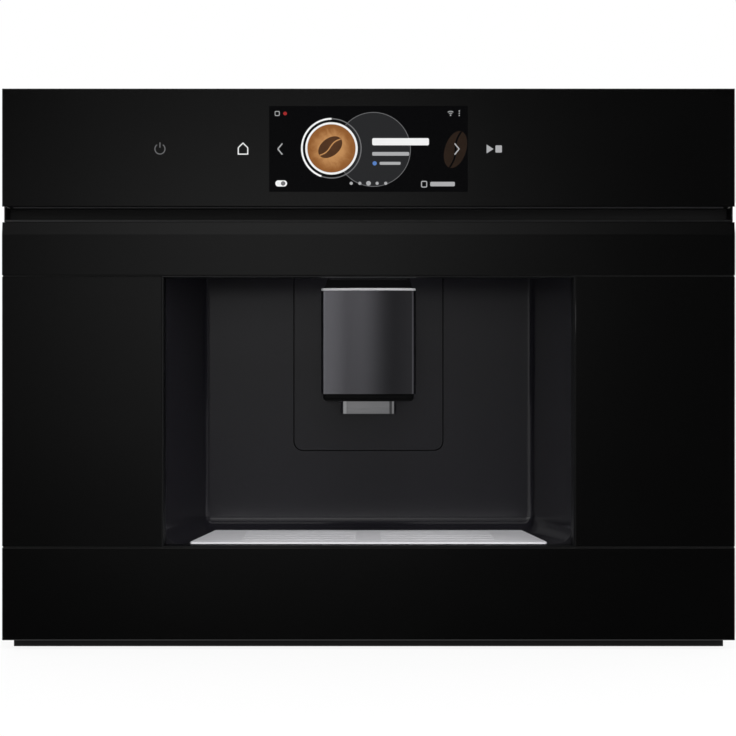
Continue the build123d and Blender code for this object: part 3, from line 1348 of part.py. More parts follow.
def brew_shell(inset, y0, y1, z0, z1):
    """A block as wide as the brewing unit, less an inset each side."""
    half = BREW_HALF - inset
    return block(GRINDER_X - half, GRINDER_X + half, y0, y1, z0, z1)


def make_brew_frame():
    """Cage of the brewing unit: deck, two side walls, rear wall and top bridge, on a hollow foot."""
    wall = BREW_WALL
    y0, y1 = FACE_Y + BREW_FRONT, FACE_Y + BREW_BACK
    bridge = BREW_TOP - BREW_BRIDGE
    frame = brew_shell(0, y0, y1, FLOOR_Z, BREW_TOP)
    frame -= brew_shell(wall, y0, y1 - wall, CHAMBER_LOW, bridge)
    frame -= brew_shell(wall, y0 + wall, y1 - wall, FLOOR_Z + BREW_FLOOR, CHAMBER_LOW - BREW_DECK)
    mouth = CHAMBER_HIGH + CHUTE_STEP
    left, right = GRINDER_X - CHUTE_HALF, GRINDER_X + CHUTE_HALF
    frame -= block(left, right, y1 - wall, y1, mouth, mouth + CHUTE_MOUTH)
    side = GRINDER_X + BREW_HALF
    puck_y0, puck_y1 = FACE_Y + PUCK_FRONT, FACE_Y + PUCK_BACK - wall
    frame -= block(side - wall, side, puck_y0, puck_y1, CHAMBER_HIGH, CHAMBER_HIGH + PUCK_WINDOW)
    return frame - post(GRINDER_X, CHAMBER_Y, bridge, BREW_TOP, PISTON_ROD_R + ROD_BORE_CLEAR)


def make_brew_chamber():
    """Brewing cylinder with a rim, closed below but for its drain."""
    outer = CHAMBER_R + CHAMBER_WALL
    floor = CHAMBER_LOW + CHAMBER_FLOOR
    outline = [
        (CHAMBER_DRAIN_R, CHAMBER_LOW),
        (outer, CHAMBER_LOW),
        (outer, CHAMBER_HIGH - CHAMBER_RIM_T),
        (outer + CHAMBER_RIM, CHAMBER_HIGH - CHAMBER_RIM_T),
        (outer + CHAMBER_RIM, CHAMBER_HIGH),
        (CHAMBER_R, CHAMBER_HIGH),
        (CHAMBER_R, floor),
        (CHAMBER_DRAIN_R, floor),
    ]
    return turned(GRINDER_X, CHAMBER_Y, outline)


def make_brew_piston():
    """Pressing piston with its seal groove, on the rod that slides in the bridge."""
    radius = CHAMBER_R - PISTON_CLEAR
    high = PISTON_LOW + PISTON_H
    seal_low, seal_high = PISTON_LOW + (PISTON_H - SEAL_W) / 2, PISTON_LOW + (PISTON_H + SEAL_W) / 2
    rod_top = BEAN_BOTTOM - SHELF_T - PISTON_HEAD_GAP
    outline = [
        (0, PISTON_LOW),
        (radius, PISTON_LOW),
        (radius, seal_low),
        (radius - SEAL_D, seal_low),
        (radius - SEAL_D, seal_high),
        (radius, seal_high),
        (radius, high),
        (PISTON_ROD_R, high),
        (PISTON_ROD_R, rod_top),
        (0, rod_top),
    ]
    return turned(GRINDER_X, CHAMBER_Y, outline)


def make_brew_drive():
    """Gearmotor on the bridge in front of the piston rod."""
    y0, y1 = FACE_Y + BREW_FRONT + DRIVE_SET, CHAMBER_Y - PISTON_ROD_R - DRIVE_CLEAR
    top = BREW_TOP + DRIVE_H
    drive = brew_shell(0, y0, y1, BREW_TOP, top)
    drive += bar(GRINDER_X, BREW_TOP + DRIVE_H / 2, y0 - DRIVE_MOTOR_L, y0, DRIVE_MOTOR_R)
    return drive + post(GRINDER_X, (y0 + y1) / 2, top, top + DRIVE_CAP_T, DRIVE_CAP_R)


def make_brew_cover():
    """Cover in front of the brewing unit, with a finger recess."""
    x0, x1 = BEAN_OUTER - BAY_MARGIN + SEAT_CLEAR, BEAN_INNER + BAY_MARGIN - SEAT_CLEAR
    z0, z1 = BREW_BAY_BOTTOM + SEAT_CLEAR, BREW_BAY_TOP - SEAT_CLEAR
    cover = block(x0, x1, FRAME_Y, FRAME_Y + BREW_COVER_T, z0, z1)
    cover = fillet(cover.edges().filter_by(Axis.Y), BREW_COVER_R)
    wall, deep = BREW_GRIP_WALL, BREW_GRIP_D
    middle = Pos(BEAN_X, FRAME_Y, BREW_BAY_TOP - BREW_GRIP_DROP)
    wide, high = BREW_GRIP_W + 2 * wall, BREW_GRIP_H + 2 * wall
    outside = Pos(0, (deep + wall) / 2, 0) * Box(wide, deep + wall, high)
    inside = Pos(0, deep / 2, 0) * Box(BREW_GRIP_W, deep, BREW_GRIP_H)
    return cover + middle * outside - middle * inside


def plate_xz(points, y0, y1):
    """An (x, z) outline extruded from y0 to y1."""
    face = make_face(Plane.XZ * Polyline(*points, close=True))
    return Pos(0, y0, 0) * extrude(face, amount=y1 - y0, dir=(0, 1, 0))


def make_puck_chute():
    """Slide with two side walls that drops the used coffee from the brewing unit into the grounds bin."""
    x0 = GRINDER_X + BREW_HALF
    x1 = -TRAY_HALF + TRAY_WALL + PUCK_OVER
    high, low = CHAMBER_HIGH, NICHE_FLOOR + PUCK_CLEAR
    y0, y1 = FACE_Y + PUCK_FRONT, FACE_Y + PUCK_BACK
    slide = plate_xz([(x0, high), (x1, low), (x1, low - PUCK_WALL), (x0, high - PUCK_WALL)], y0, y1)
    side = [(x0, high + PUCK_SIDE), (x1, low + PUCK_SIDE), (x1, low), (x0, high)]
    return slide + plate_xz(side, y0, y0 + PUCK_WALL) + plate_xz(side, y1 - PUCK_WALL, y1)


# ------------------------------------------------------------------ rear: heater, pump, electrics


def make_inner_shelf():
    """Folded shelf behind the drip tray, standing on the base pan."""
    y0, y1 = FACE_Y + INNER_SHELF_FRONT, REAR_Y - 2 * SHEET
    x0, x1 = INNER_SHELF_LEFT, TANK_OUTER
    shelf = block(x0, x1, y0, y1, INNER_SHELF_Z - SHEET, INNER_SHELF_Z)
    for left in (x0, x1 - SHEET):
        shelf += block(left, left + SHEET, y0, y1, FLOOR_Z, INNER_SHELF_Z)
    return shelf


def make_boiler():
    """Heater: a domed pot with a foot flange, a belt flange and two water unions."""
    y = FACE_Y + BOILER_DEEP
    z0 = INNER_SHELF_Z
    top = z0 + BOILER_H
    foot, belt = BOILER_R + BOILER_FOOT_OUT, BOILER_R + BOILER_BELT_OUT
    belt_low = z0 + (BOILER_H - BOILER_BELT_H) / 2
    belt_high = belt_low + BOILER_BELT_H
    outline = [
        (0, z0),
        (foot, z0),
        (foot, z0 + BOILER_FOOT_T),
        (BOILER_R, z0 + BOILER_FOOT_T),
        (BOILER_R, belt_low),
        (belt, belt_low),
        (belt, belt_high),
        (BOILER_R, belt_high),
        (BOILER_R, top - BOILER_DOME),
        (BOILER_R - BOILER_DOME, top),
        (UNION_R, top),
        (UNION_R, top + UNION_L),
        (0, top + UNION_L),
    ]
    pot = turned(BOILER_X, y, outline)
    return pot + bar(BOILER_X, z0 + UNION_H, y - BOILER_R - UNION_L, y, UNION_R)


def make_pump():
    """Vibration pump: a coil yoke between two caps with hose ends, on two rubber feet."""
    y, z = pump_axis()
    half, yoke = PUMP_L / 2, PUMP_YOKE / 2
    outline = [
        (0, -half),
        (HOSE_R, -half),
        (HOSE_R, -half + PUMP_CAP_L / 2),
        (PUMP_CAP_R, -half + PUMP_CAP_L),
        (PUMP_CAP_R, half - PUMP_CAP_L),
        (HOSE_R, half - PUMP_CAP_L / 2),
        (HOSE_R, half),
        (0, half),
    ]
    pump = Pos(PUMP_X, y, z) * Rot(0, 90, 0) * turned(0, 0, outline)
    pump += block(PUMP_X - yoke, PUMP_X + yoke, y - PUMP_R, y + PUMP_R, z - PUMP_R, z + PUMP_R)
    for side in (-1, 1):
        pump += post(PUMP_X + side * (yoke - PUMP_FOOT_R), y, INNER_SHELF_Z, z - PUMP_R, PUMP_FOOT_R)
    return pump


def make_power_board():
    """Power board on standoffs, with its transformer, relays, capacitor and heat sink."""
    x0, x1 = POWER_X - POWER_W / 2, POWER_X + POWER_W / 2
    y0, y1 = FACE_Y + POWER_DEEP - POWER_D / 2, FACE_Y + POWER_DEEP + POWER_D / 2
    z0 = INNER_SHELF_Z + STANDOFF_H
    top = z0 + BOARD_T
    board = block(x0, x1, y0, y1, z0, top)
    for x in (x0 + STANDOFF_IN, x1 - STANDOFF_IN):
        for y in (y0 + STANDOFF_IN, y1 - STANDOFF_IN):
            board += post(x, y, INNER_SHELF_Z, z0, STANDOFF_R)
    x, y = x0 + TRANSFORMER_X, y0 + TRANSFORMER_Y
    board += block(x, x + TRANSFORMER_W, y, y + TRANSFORMER_D, top, top + TRANSFORMER_H)
    board += post(x0 + CAPACITOR_X, y0 + CAPACITOR_Y, top, top + CAPACITOR_H, CAPACITOR_R)
    for relay in range(RELAY_COUNT):
        x, y = x0 + RELAY_X, y0 + RELAY_Y + RELAY_PITCH * relay
        board += block(x, x + RELAY_W, y, y + RELAY_D, top, top + RELAY_H)
    for fin in range(FIN_COUNT):
        x, y = x0 + FIN_X + FIN_PITCH * fin, y0 + FIN_Y
        board += block(x, x + FIN_T, y, y + FIN_D, top, top + FIN_H)
    return board


def inlet_block(half_w, half_h, y0, y1, x=0.0, z=0.0):
    """A block about the mains inlet's axis, or beside it by x and z."""
    x, z = INLET_X + x, INLET_Z + z
    return block(x - half_w, x + half_w, y0, y1, z - half_h, z + half_h)


def make_mains_inlet():
    """Appliance inlet with three contacts in the rear panel."""
    y0, y1 = REAR_Y - INLET_BODY_D, REAR_Y
    half_w, half_h = INLET_BODY_W / 2, INLET_BODY_H / 2
    flange_y = REAR_Y - SHEET
    inlet = inlet_block(half_w, half_h, y0, y1)
    inlet += inlet_block(INLET_W / 2, INLET_H / 2, flange_y - INLET_FLANGE_T, flange_y)
    inlet -= inlet_block(half_w - INLET_WALL, half_h - INLET_WALL, y0 + INLET_FLOOR, y1)
    for x, z in ((-CONTACT_X, -CONTACT_LOW), (0, CONTACT_HIGH), (CONTACT_X, -CONTACT_LOW)):
        inlet += inlet_block(CONTACT_W / 2, CONTACT_H / 2, y0 + INLET_FLOOR, y1 - INLET_WALL, x, z)
    return inlet


def hose(points):
    """A round hose along straight runs joined by bends."""
    path = FilletPolyline(*points, radius=HOSE_BEND)
    ring = Plane(origin=path @ 0, z_dir=path % 0) * Circle(HOSE_R)
    return sweep(ring, path=path)


def pump_axis():
    """The pump's y and z, at which both its hoses start."""
    return FACE_Y + PUMP_DEEP, INNER_SHELF_Z + PUMP_FOOT_H + PUMP_R


def make_suction_hose():
    """From the tank dock's port, behind the drip tray, to the pump's right-hand end."""
    y, z = pump_axis()
    start_y = FACE_Y + TANK_BACK + DOCK_PORT_GAP + DOCK_PORT_T
    run_y = start_y + HOSE_BEND + HOSE_ROOM
    end_x = PUMP_X + PUMP_L / 2
    turn_x = end_x + HOSE_BEND + HOSE_STEP
    points = [(TANK_X, start_y, VALVE_Z), (TANK_X, run_y, VALVE_Z), (TANK_X, run_y, z)]
    return hose(points + [(turn_x, run_y, z), (turn_x, y, z), (end_x, y, z)])


def make_pressure_hose():
    """From the pump's left-hand end, round its front, to the heater's lower union."""
    y, z = pump_axis()
    start_x = PUMP_X - PUMP_L / 2
    turn_x = start_x - HOSE_BEND - HOSE_STEP
    union_y = FACE_Y + BOILER_DEEP - BOILER_R - UNION_L
    run_y = union_y - HOSE_BEND - HOSE_ROOM
    union_z = INNER_SHELF_Z + UNION_H
    points = [(start_x, y, z), (turn_x, y, z), (turn_x, run_y, union_z), (BOILER_X, run_y, union_z)]
    return hose(points + [(BOILER_X, union_y, union_z)])


PARTS = {
    "base_pan": make_base_pan,
    "right_side_panel": make_side_panel,
    "left_side_panel": lambda: mirror_x(make_side_panel()),
    "rear_panel": make_rear_panel,
    "top_cover": make_top_cover,
    "feet": make_feet,
    "front_frame": make_front_frame,
    "control_glass": make_control_glass,
    "control_carrier": make_control_carrier,
    "display_module": make_display_module,
    "touch_board": make_touch_board,
    "door_hinges": make_door_hinges,
    "catch_plates": make_catch_plates,
    "door_frame": make_door_frame,
    "door_inner_panel": make_door_inner_panel,
    "door_glass_top": make_door_glass_top,
    "door_glass_left": lambda: make_door_glass_side(-1),
    "door_glass_right": lambda: make_door_glass_side(1),
    "door_glass_bottom": make_door_glass_bottom,
    "window_trim": make_window_trim,
    "door_magnets": make_door_magnets,
    "niche_liner": make_niche_liner,
    "niche_lamp": make_niche_lamp,
    "guide_panel": make_guide_panel,
    "guide_rods": make_guide_rods,
    "outlet_cover": make_outlet_cover,
    "outlet_trim": make_outlet_trim,
    "outlet_body": make_outlet_body,
    "outlet_nozzle": make_outlet_nozzle,
    "outlet_carriage": make_outlet_carriage,
    "drip_plate": make_drip_plate,
    "drip_tray": make_drip_tray,
    "grounds_container": make_grounds_container,
    "water_tank": make_water_tank,
    "tank_lid": make_tank_lid,
    "tank_dock": make_tank_dock,
    "bean_container": make_bean_container,
    "bean_lid": make_bean_lid,
    "bean_shelf": make_bean_shelf,
    "grinder_hopper": make_grinder_hopper,
    "grinder_housing": make_grinder_housing,
    "ring_burr": make_ring_burr,
    "cone_burr": make_cone_burr,
    "grinder_motor": make_grinder_motor,
    "grind_dial": make_grind_dial,
    "coffee_chute": make_coffee_chute,
    "brew_frame": make_brew_frame,
    "brew_chamber": make_brew_chamber,
    "brew_piston": make_brew_piston,
    "brew_drive": make_brew_drive,
    "brew_cover": make_brew_cover,
    "puck_chute": make_puck_chute,
    "inner_shelf": make_inner_shelf,
    "boiler": make_boiler,
    "pump": make_pump,
    "power_board": make_power_board,
    "mains_inlet": make_mains_inlet,
    "suction_hose": make_suction_hose,
    "pressure_hose": make_pressure_hose,
}

for node, make in PARTS.items():
    export_step(make(), f"parts/{node}.step")
    print("wrote", node)
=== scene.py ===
# %% [markdown]
# # A built-in coffee machine, dressed for its picture
#
# The machine is a black glass front in a kitchen cabinet: a fixed control panel with a small colour screen,
# a grip recess, one wide door with a window round the cup niche, and an outlet that slides up and down.
# The solids come from a CAD model, so this lesson does not model the machine again. It gives every solid a
# finish that reacts to light as the real one does, adds the printed and lit marks that a CAD model leaves
# out, and puts the whole thing in a small studio.
#
# A cell like this one says what comes next and why. The code cell under it does the work.

# %% Load the fixed frame
import json
import math

import bmesh
import bpy
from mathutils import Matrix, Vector

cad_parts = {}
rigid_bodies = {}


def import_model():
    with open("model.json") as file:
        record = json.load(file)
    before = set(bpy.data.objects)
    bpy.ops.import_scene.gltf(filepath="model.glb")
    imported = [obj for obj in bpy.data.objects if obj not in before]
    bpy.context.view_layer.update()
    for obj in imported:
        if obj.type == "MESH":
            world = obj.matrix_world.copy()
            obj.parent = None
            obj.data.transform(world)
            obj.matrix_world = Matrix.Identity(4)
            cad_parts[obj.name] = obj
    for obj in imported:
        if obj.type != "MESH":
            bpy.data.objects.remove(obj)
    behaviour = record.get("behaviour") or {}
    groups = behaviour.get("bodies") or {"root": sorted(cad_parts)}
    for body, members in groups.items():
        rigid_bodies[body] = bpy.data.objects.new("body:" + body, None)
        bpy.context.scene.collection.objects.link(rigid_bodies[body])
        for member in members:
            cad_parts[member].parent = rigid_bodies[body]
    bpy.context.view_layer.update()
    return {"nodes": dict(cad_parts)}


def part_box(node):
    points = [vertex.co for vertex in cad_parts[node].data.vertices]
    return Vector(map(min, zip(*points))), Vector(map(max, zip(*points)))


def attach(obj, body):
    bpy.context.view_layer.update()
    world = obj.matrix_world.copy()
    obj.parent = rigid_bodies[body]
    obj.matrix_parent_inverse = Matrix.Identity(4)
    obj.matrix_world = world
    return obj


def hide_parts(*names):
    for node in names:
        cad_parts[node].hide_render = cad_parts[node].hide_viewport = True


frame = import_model()
NODES = frame["nodes"]
SCENE = bpy.context.scene

# %% [markdown]
# ## Lengths
# Blender counts in metres, and the small details here are tenths of a millimetre. Writing them in
# millimetres and multiplying once keeps the numbers readable.

# %% A millimetre, and the places that later cells hang on
MM = 0.001
GLASS_LOW, GLASS_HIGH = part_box("control_glass")
SCREEN_LOW, SCREEN_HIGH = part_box("display_module")
FACE = GLASS_LOW.y
print("glass face at y =", round(FACE, 5))

# %% [markdown]
# ## The camera
# A product picture is taken with a long lens from straight ahead, so upright edges stay upright and the
# sides of the machine hide behind its front. One and a half metres from the glass, level with the middle
# of the front, gives the slight widening of the niche that tells the eye how deep it is.

# %% Camera straight ahead of the front
CAMERA_DISTANCE, CAMERA_X, CAMERA_Z = 1.5, -0.0004, 0.2285
SENSOR_WIDTH, FOCAL_LENGTH, FAR_CLIP = 36.0, 90.54, 60.0
lens = bpy.data.cameras.new("product camera")
lens.sensor_width = SENSOR_WIDTH
lens.lens = FOCAL_LENGTH
lens.clip_end = FAR_CLIP
camera = bpy.data.objects.new("product camera", lens)
camera.location = (CAMERA_X, FACE - CAMERA_DISTANCE, CAMERA_Z)
camera.rotation_euler = (math.radians(90), 0, 0)
SCENE.collection.objects.link(camera)
SCENE.camera = camera
SCENE.view_settings.view_transform = "Standard"
print("camera stands at", [round(v, 4) for v in camera.location])

# %% [markdown]
# ## Small helpers for node trees
# Every finish below is a handful of nodes. `put` adds one node and wires it in the same call, and the rest
# are short forms for the nodes that turn up most: sums, products, soft steps and blends.

# %% Helpers that add and wire nodes
def put(tree, kind, wires=None, **settings):
    """Adds one node. Each entry of wires is a plain value or another node's output."""
    node = tree.nodes.new(kind)
    for key, value in settings.items():
        setattr(node, key, value)
    for key, value in (wires or {}).items():
        if isinstance(value, bpy.types.NodeSocket):
            tree.links.new(value, node.inputs[key])
        else:
            node.inputs[key].default_value = value
    return node


def maths(tree, operation, *values):
    """One Math node; the values are numbers or sockets."""
    return put(tree, "ShaderNodeMath", dict(enumerate(values)), operation=operation).outputs[0]


def times(tree, value, *others):
    """The product of two or more values, one Math node a step."""
    for other in others:
        value = maths(tree, "MULTIPLY", value, other)
    return value


def plus(tree, value, *others):
    """The sum of two or more values, one Math node a step."""
    for other in others:
        value = maths(tree, "ADD", value, other)
    return value


def vectors(tree, operation, *values):
    """One Vector Math node. A length or a dot product comes out as a plain value."""
    node = put(tree, "ShaderNodeVectorMath", dict(enumerate(values)), operation=operation)
    return node.outputs["Value" if operation in ("LENGTH", "DOT_PRODUCT") else "Vector"]


def object_place(tree):
    """Where the shaded point lies on its object."""
    return put(tree, "ShaderNodeTexCoord").outputs["Object"]


def smooth_step(tree, value, low, high):
    """0 below low, 1 above high, with soft ends."""
    wires = dict(enumerate((value, low, high, 0.0, 1.0)))
    return put(tree, "ShaderNodeMapRange", wires, interpolation_type="SMOOTHSTEP", clamp=True).outputs[0]


def between(tree, mask, low, high):
    """A value that runs from low to high as the mask runs from 0 to 1."""
    wires = dict(enumerate((mask, 0.0, 1.0, low, high)))
    return put(tree, "ShaderNodeMapRange", wires, clamp=True).outputs[0]


def blend_colour(tree, mask, low, high):
    """A colour that runs from low to high as the mask runs from 0 to 1. Sockets 6 and 7 take the colours."""
    low, high = (end if isinstance(end, bpy.types.NodeSocket) else (*end, 1.0) for end in (low, high))
    return put(tree, "ShaderNodeMix", {0: mask, 6: low, 7: high}, data_type="RGBA").outputs[2]


def grey(level):
    """A neutral colour."""
    return (level, level, level)


# %% [markdown]
# ## The studio
# Black glass shows nothing but what it reflects. In the picture that is a dark room with one soft glow,
# a little left of the camera, which fades out towards the right. The room is painted on the world by
# direction: a white wall behind the machine, dark air behind the camera with that glow in it, and tall
# soft panels left and right. A narrow shelf of light hangs above the camera, between the heights that
# the flat panes mirror, so only curved and brushed metal picks it up. The camera itself sees plain white,
# through Light Path's camera ray.

# %% World: white behind the machine, a dark room with soft panels before it
LEFT_PANEL, RIGHT_PANEL, RIGHT_WALL, CEILING, SHELF, DARK_AIR = 0.28, 0.18, 0.055, 0.35, 0.95, 0.013
LEFT_EDGE, RIGHT_EDGE, WALL_EDGE, PANEL_FOOT = (-0.20, -0.29), (0.75, 0.95), (0.22, 0.34), (-0.55, -0.15)
SHELF_FLOOR, SHELF_TOP, SHELF_END, CEILING_EDGE = (0.16, 0.20), (0.33, 0.28), (0.13, -0.01), (0.62, 0.78)
BEHIND_MACHINE = (-0.02, 0.06)
GLOW_X = -0.054
SMALLEST = 0.001  # keeps the slopes finite to the sides
world = bpy.data.worlds.new("studio")
SCENE.world = world
world.use_nodes = True
room = world.node_tree
room.nodes.clear()
towards = put(room, "ShaderNodeSeparateXYZ", {0: put(room, "ShaderNodeTexCoord").outputs["Generated"]})
dir_x, dir_y, dir_z = towards.outputs
ahead = maths(room, "MAXIMUM", times(room, dir_y, -1.0), SMALLEST)
across_room = maths(room, "DIVIDE", dir_x, ahead)
up_room = maths(room, "DIVIDE", dir_z, ahead)
turn = maths(room, "ARCTAN2", dir_x, ahead)


def glow(centre_x, centre_z, wide, above, below, level):
    """A soft patch of light in the dark half of the room, placed by its direction's slopes."""
    x = maths(room, "DIVIDE", maths(room, "SUBTRACT", across_room, centre_x), wide)
    rise = maths(room, "SUBTRACT", up_room, centre_z)
    upper = maths(room, "DIVIDE", maths(room, "MAXIMUM", rise, 0.0), above)
    lower = maths(room, "DIVIDE", maths(room, "MINIMUM", rise, 0.0), below)
    z = plus(room, upper, lower)
    square = plus(room, times(room, x, x), times(room, z, z))
    return times(room, maths(room, "EXPONENT", times(room, square, -0.5)), level)


def from_edge(value, edge, level):
    """A level that starts at a soft edge."""
    return times(room, smooth_step(room, value, *edge), level)


def or_white(mask, level):
    """White where the mask is 1, and the level elsewhere."""
    return put(room, "ShaderNodeMix", {0: mask, 2: level, 3: 1.0}, data_type="FLOAT").outputs[0]


right_side = plus(room, from_edge(turn, RIGHT_EDGE, RIGHT_PANEL), from_edge(turn, WALL_EDGE, RIGHT_WALL))
panels = plus(room, from_edge(turn, LEFT_EDGE, LEFT_PANEL), right_side)
panels = times(room, panels, smooth_step(room, dir_z, *PANEL_FOOT))
shelf_height = times(room, smooth_step(room, up_room, *SHELF_FLOOR), smooth_step(room, up_room, *SHELF_TOP))
shelf_of_light = times(room, shelf_height, smooth_step(room, turn, *SHELF_END), SHELF)
ceiling = from_edge(dir_z, CEILING_EDGE, CEILING)
main_glow = glow(GLOW_X, 0.067, 0.096, 0.080, 0.103, 0.295)
high_glow = glow(GLOW_X, 0.44, 0.12, 0.10, 0.10, 0.45)
glows = plus(room, plus(room, main_glow, high_glow), shelf_of_light)
dark_side = plus(room, panels, ceiling, glows, DARK_AIR)
room_light = or_white(smooth_step(room, dir_y, *BEHIND_MACHINE), dark_side)
level = or_white(put(room, "ShaderNodeLightPath").outputs["Is Camera Ray"], room_light)
background = put(room, "ShaderNodeBackground", {"Color": (1, 1, 1, 1), "Strength": level})
put(room, "ShaderNodeOutputWorld", {"Surface": background.outputs[0]})
print("world nodes:", len(room.nodes))

# %% [markdown]
# ## Lamps
# The world alone would leave the front too dark, so four large soft lamps add the rest, and a very weak
# one stands for the lamp under the niche's ceiling. They are switched off for glossy rays: the reflections
# are the room's work, and a lamp in them would show as a hard square.
# Their power is set so that a grey card facing them shows the grey it has.

# %% Four soft lamps and the niche's own
def soft_lamp(name, place, aim, size, watts):
    """A square area lamp turned towards a point."""
    data = bpy.data.lights.new(name, "AREA")
    data.size = size
    data.energy = watts
    lamp = bpy.data.objects.new(name, data)
    lamp.location = place
    lamp.rotation_euler = (Vector(aim) - Vector(place)).to_track_quat("-Z", "Y").to_euler()
    lamp.visible_glossy = False
    SCENE.collection.objects.link(lamp)
    return lamp


NICHE = (0, -0.15, 0.2)
LAMPS = (
    soft_lamp("left lamp", (-1.75, -1.5, 1.25), NICHE, 1.0, 7.0),
    soft_lamp("right lamp", (1.5, -1.7, 0.95), NICHE, 1.0, 16.0),
    soft_lamp("top lamp", (0, -1.95, 1.85), NICHE, 1.2, 34.0),
    soft_lamp("front lamp", (0.25, -2.6, 0.62), NICHE, 1.1, 15.0),
    soft_lamp("niche lamp", (0, -0.125, 0.335), (0, -0.06, 0.1), 0.10, 0.07),
)
print("lamps:", [lamp.name for lamp in LAMPS])

# %% [markdown]
# ## The floor
# The machine stands on a plain white floor. The camera sees it almost as bright as the wall behind, with
# only a breath of shadow left near the machine; further out it turns as white as the wall, so no horizon
# shows. Glossy rays see white under and behind the machine too, but before its face they pass through and
# see the dark room, or the panes would turn grey.

# %% Floor with a faint shadow
FLOOR_HALF = 6.0
WHITE_SHARE, FAR_LIFT = 0.88, 1.1364
SHADOW_END, WHITE_START = 0.7, 2.6
FADE = 0.03  # half the soft edge under the machine's face
mesh = bpy.data.meshes.new("floor")
corners = ((-1, -1), (1, -1), (1, 1), (-1, 1))
mesh.from_pydata([(x * FLOOR_HALF, y * FLOOR_HALF, 0) for x, y in corners], [], [(0, 1, 2, 3)])
floor = bpy.data.objects.new("floor", mesh)
SCENE.collection.objects.link(floor)
white_floor = bpy.data.materials.new("white floor")
white_floor.use_nodes = True
tree = white_floor.node_tree
paint = tree.nodes["Principled BSDF"]
paint.inputs["Base Color"].default_value = (0.86, 0.86, 0.86, 1)
paint.inputs["Roughness"].default_value = 0.9
shine = put(tree, "ShaderNodeEmission", {"Color": (1, 1, 1, 1), "Strength": 1.0})
path = put(tree, "ShaderNodeLightPath")
glossy = path.outputs["Is Glossy Ray"]
place = object_place(tree)
floor_y = put(tree, "ShaderNodeSeparateXYZ", {0: place}).outputs[1]
seen = maths(tree, "MAXIMUM", path.outputs["Is Camera Ray"], path.outputs["Is Transmission Ray"])
seen = times(tree, maths(tree, "MAXIMUM", seen, glossy), WHITE_SHARE)
far = smooth_step(tree, vectors(tree, "LENGTH", place), SHADOW_END, WHITE_START)
white = times(tree, seen, between(tree, far, 1.0, FAR_LIFT))
both = put(tree, "ShaderNodeMixShader", {0: white, 1: paint.outputs[0], 2: shine.outputs[0]})
gone = times(tree, glossy, smooth_step(tree, floor_y, FACE + FADE, FACE - FADE))
open_air = put(tree, "ShaderNodeBsdfTransparent")
whole = put(tree, "ShaderNodeMixShader", {0: gone, 1: both.outputs[0], 2: open_air.outputs[0]})
tree.links.new(whole.outputs[0], tree.nodes["Material Output"].inputs["Surface"])
mesh.materials.append(white_floor)
print("floor side:", 2 * FLOOR_HALF, "m")

# %% [markdown]
# ## Effects that several finishes share
# Wear along edges, the grain of brushed metal, the fine skin of a moulding, dust and the crystals of zinc
# coating all turn up on more than one material. Each is a node group with named inputs, built once. A
# group here only puts out masks and heights; the shader itself stays in each material, where its
# settings can be read.

# %% A helper that opens a shader group
NUMBER, ARROW = "NodeSocketFloat", "NodeSocketVector"


def open_group(name, inputs, outputs):
    """An empty shader group with its sockets, and its input and output nodes."""
    group = bpy.data.node_groups.new(name, "ShaderNodeTree")
    for label, kind, value in inputs:
        group.interface.new_socket(label, in_out="INPUT", socket_type=kind).default_value = value
    for label in outputs:
        group.interface.new_socket(label, in_out="OUTPUT", socket_type=NUMBER)
    return group, group.nodes.new("NodeGroupInput").outputs, group.nodes.new("NodeGroupOutput").inputs


def object_noise(tree, scale, detail=2.0, stretch=None, roughness=0.5):
    """Noise on object coordinates, stretched if asked, as one value."""
    place = object_place(tree)
    if stretch is not None:
        place = vectors(tree, "MULTIPLY", place, stretch)
    wires = {"Vector": place, "Scale": scale, "Detail": detail, "Roughness": roughness}
    return put(tree, "ShaderNodeTexNoise", wires).outputs[0]


# %% [markdown]
# ### Edge wear
# Handling rubs edges first. Blender's Bevel node gives the normal that a rounded edge would have. Where it
# differs from the true normal there is an edge, and a patchy noise keeps the wear from looking drawn on.

# %% Edge wear group
EDGE_WEAR, given, result = open_group("edge wear", [
    ("Radius", NUMBER, 0.0006), ("Strength", NUMBER, 5.0), ("Patch Scale", NUMBER, 60.0)], ["Mask"])
true_normal = put(EDGE_WEAR, "ShaderNodeNewGeometry").outputs["Normal"]
round_normal = put(EDGE_WEAR, "ShaderNodeBevel", {"Radius": given["Radius"]}, samples=4).outputs[0]
apart = maths(EDGE_WEAR, "SUBTRACT", 1.0, vectors(EDGE_WEAR, "DOT_PRODUCT", true_normal, round_normal))
patches = smooth_step(EDGE_WEAR, object_noise(EDGE_WEAR, given["Patch Scale"], 3.0), 0.35, 0.65)
patchy = plus(EDGE_WEAR, times(EDGE_WEAR, patches, 0.7), 0.3)
worn = times(EDGE_WEAR, times(EDGE_WEAR, apart, given["Strength"]), patchy)
EDGE_WEAR.links.new(maths(EDGE_WEAR, "MINIMUM", worn, 1.0), result["Mask"])
print("edge wear:", len(EDGE_WEAR.nodes), "nodes")

# %% [markdown]
# ### Brushed grain
# Brushing drags an abrasive belt over the sheet, so the scratches are long one way and very fine the other.
# Stretching the coordinates before a noise texture makes exactly that. A second, broader noise varies the
# tone, because no belt cuts evenly.

# %% Brushed grain group
BRUSHED, given, result = open_group(
    "brushed grain", [("Stretch", ARROW, (1.0, 1.0, 0.01)), ("Scale", NUMBER, 4000.0)], ["Height", "Tone"])
fine = object_noise(BRUSHED, given["Scale"], 2.0, given["Stretch"], 0.6)
broad = object_noise(BRUSHED, times(BRUSHED, given["Scale"], 0.12), 2.0, given["Stretch"])
mixed = plus(BRUSHED, times(BRUSHED, fine, 0.6), times(BRUSHED, broad, 0.4))
BRUSHED.links.new(fine, result["Height"])
BRUSHED.links.new(smooth_step(BRUSHED, mixed, 0.3, 0.7), result["Tone"])
print("brushed grain:", len(BRUSHED.nodes), "nodes")

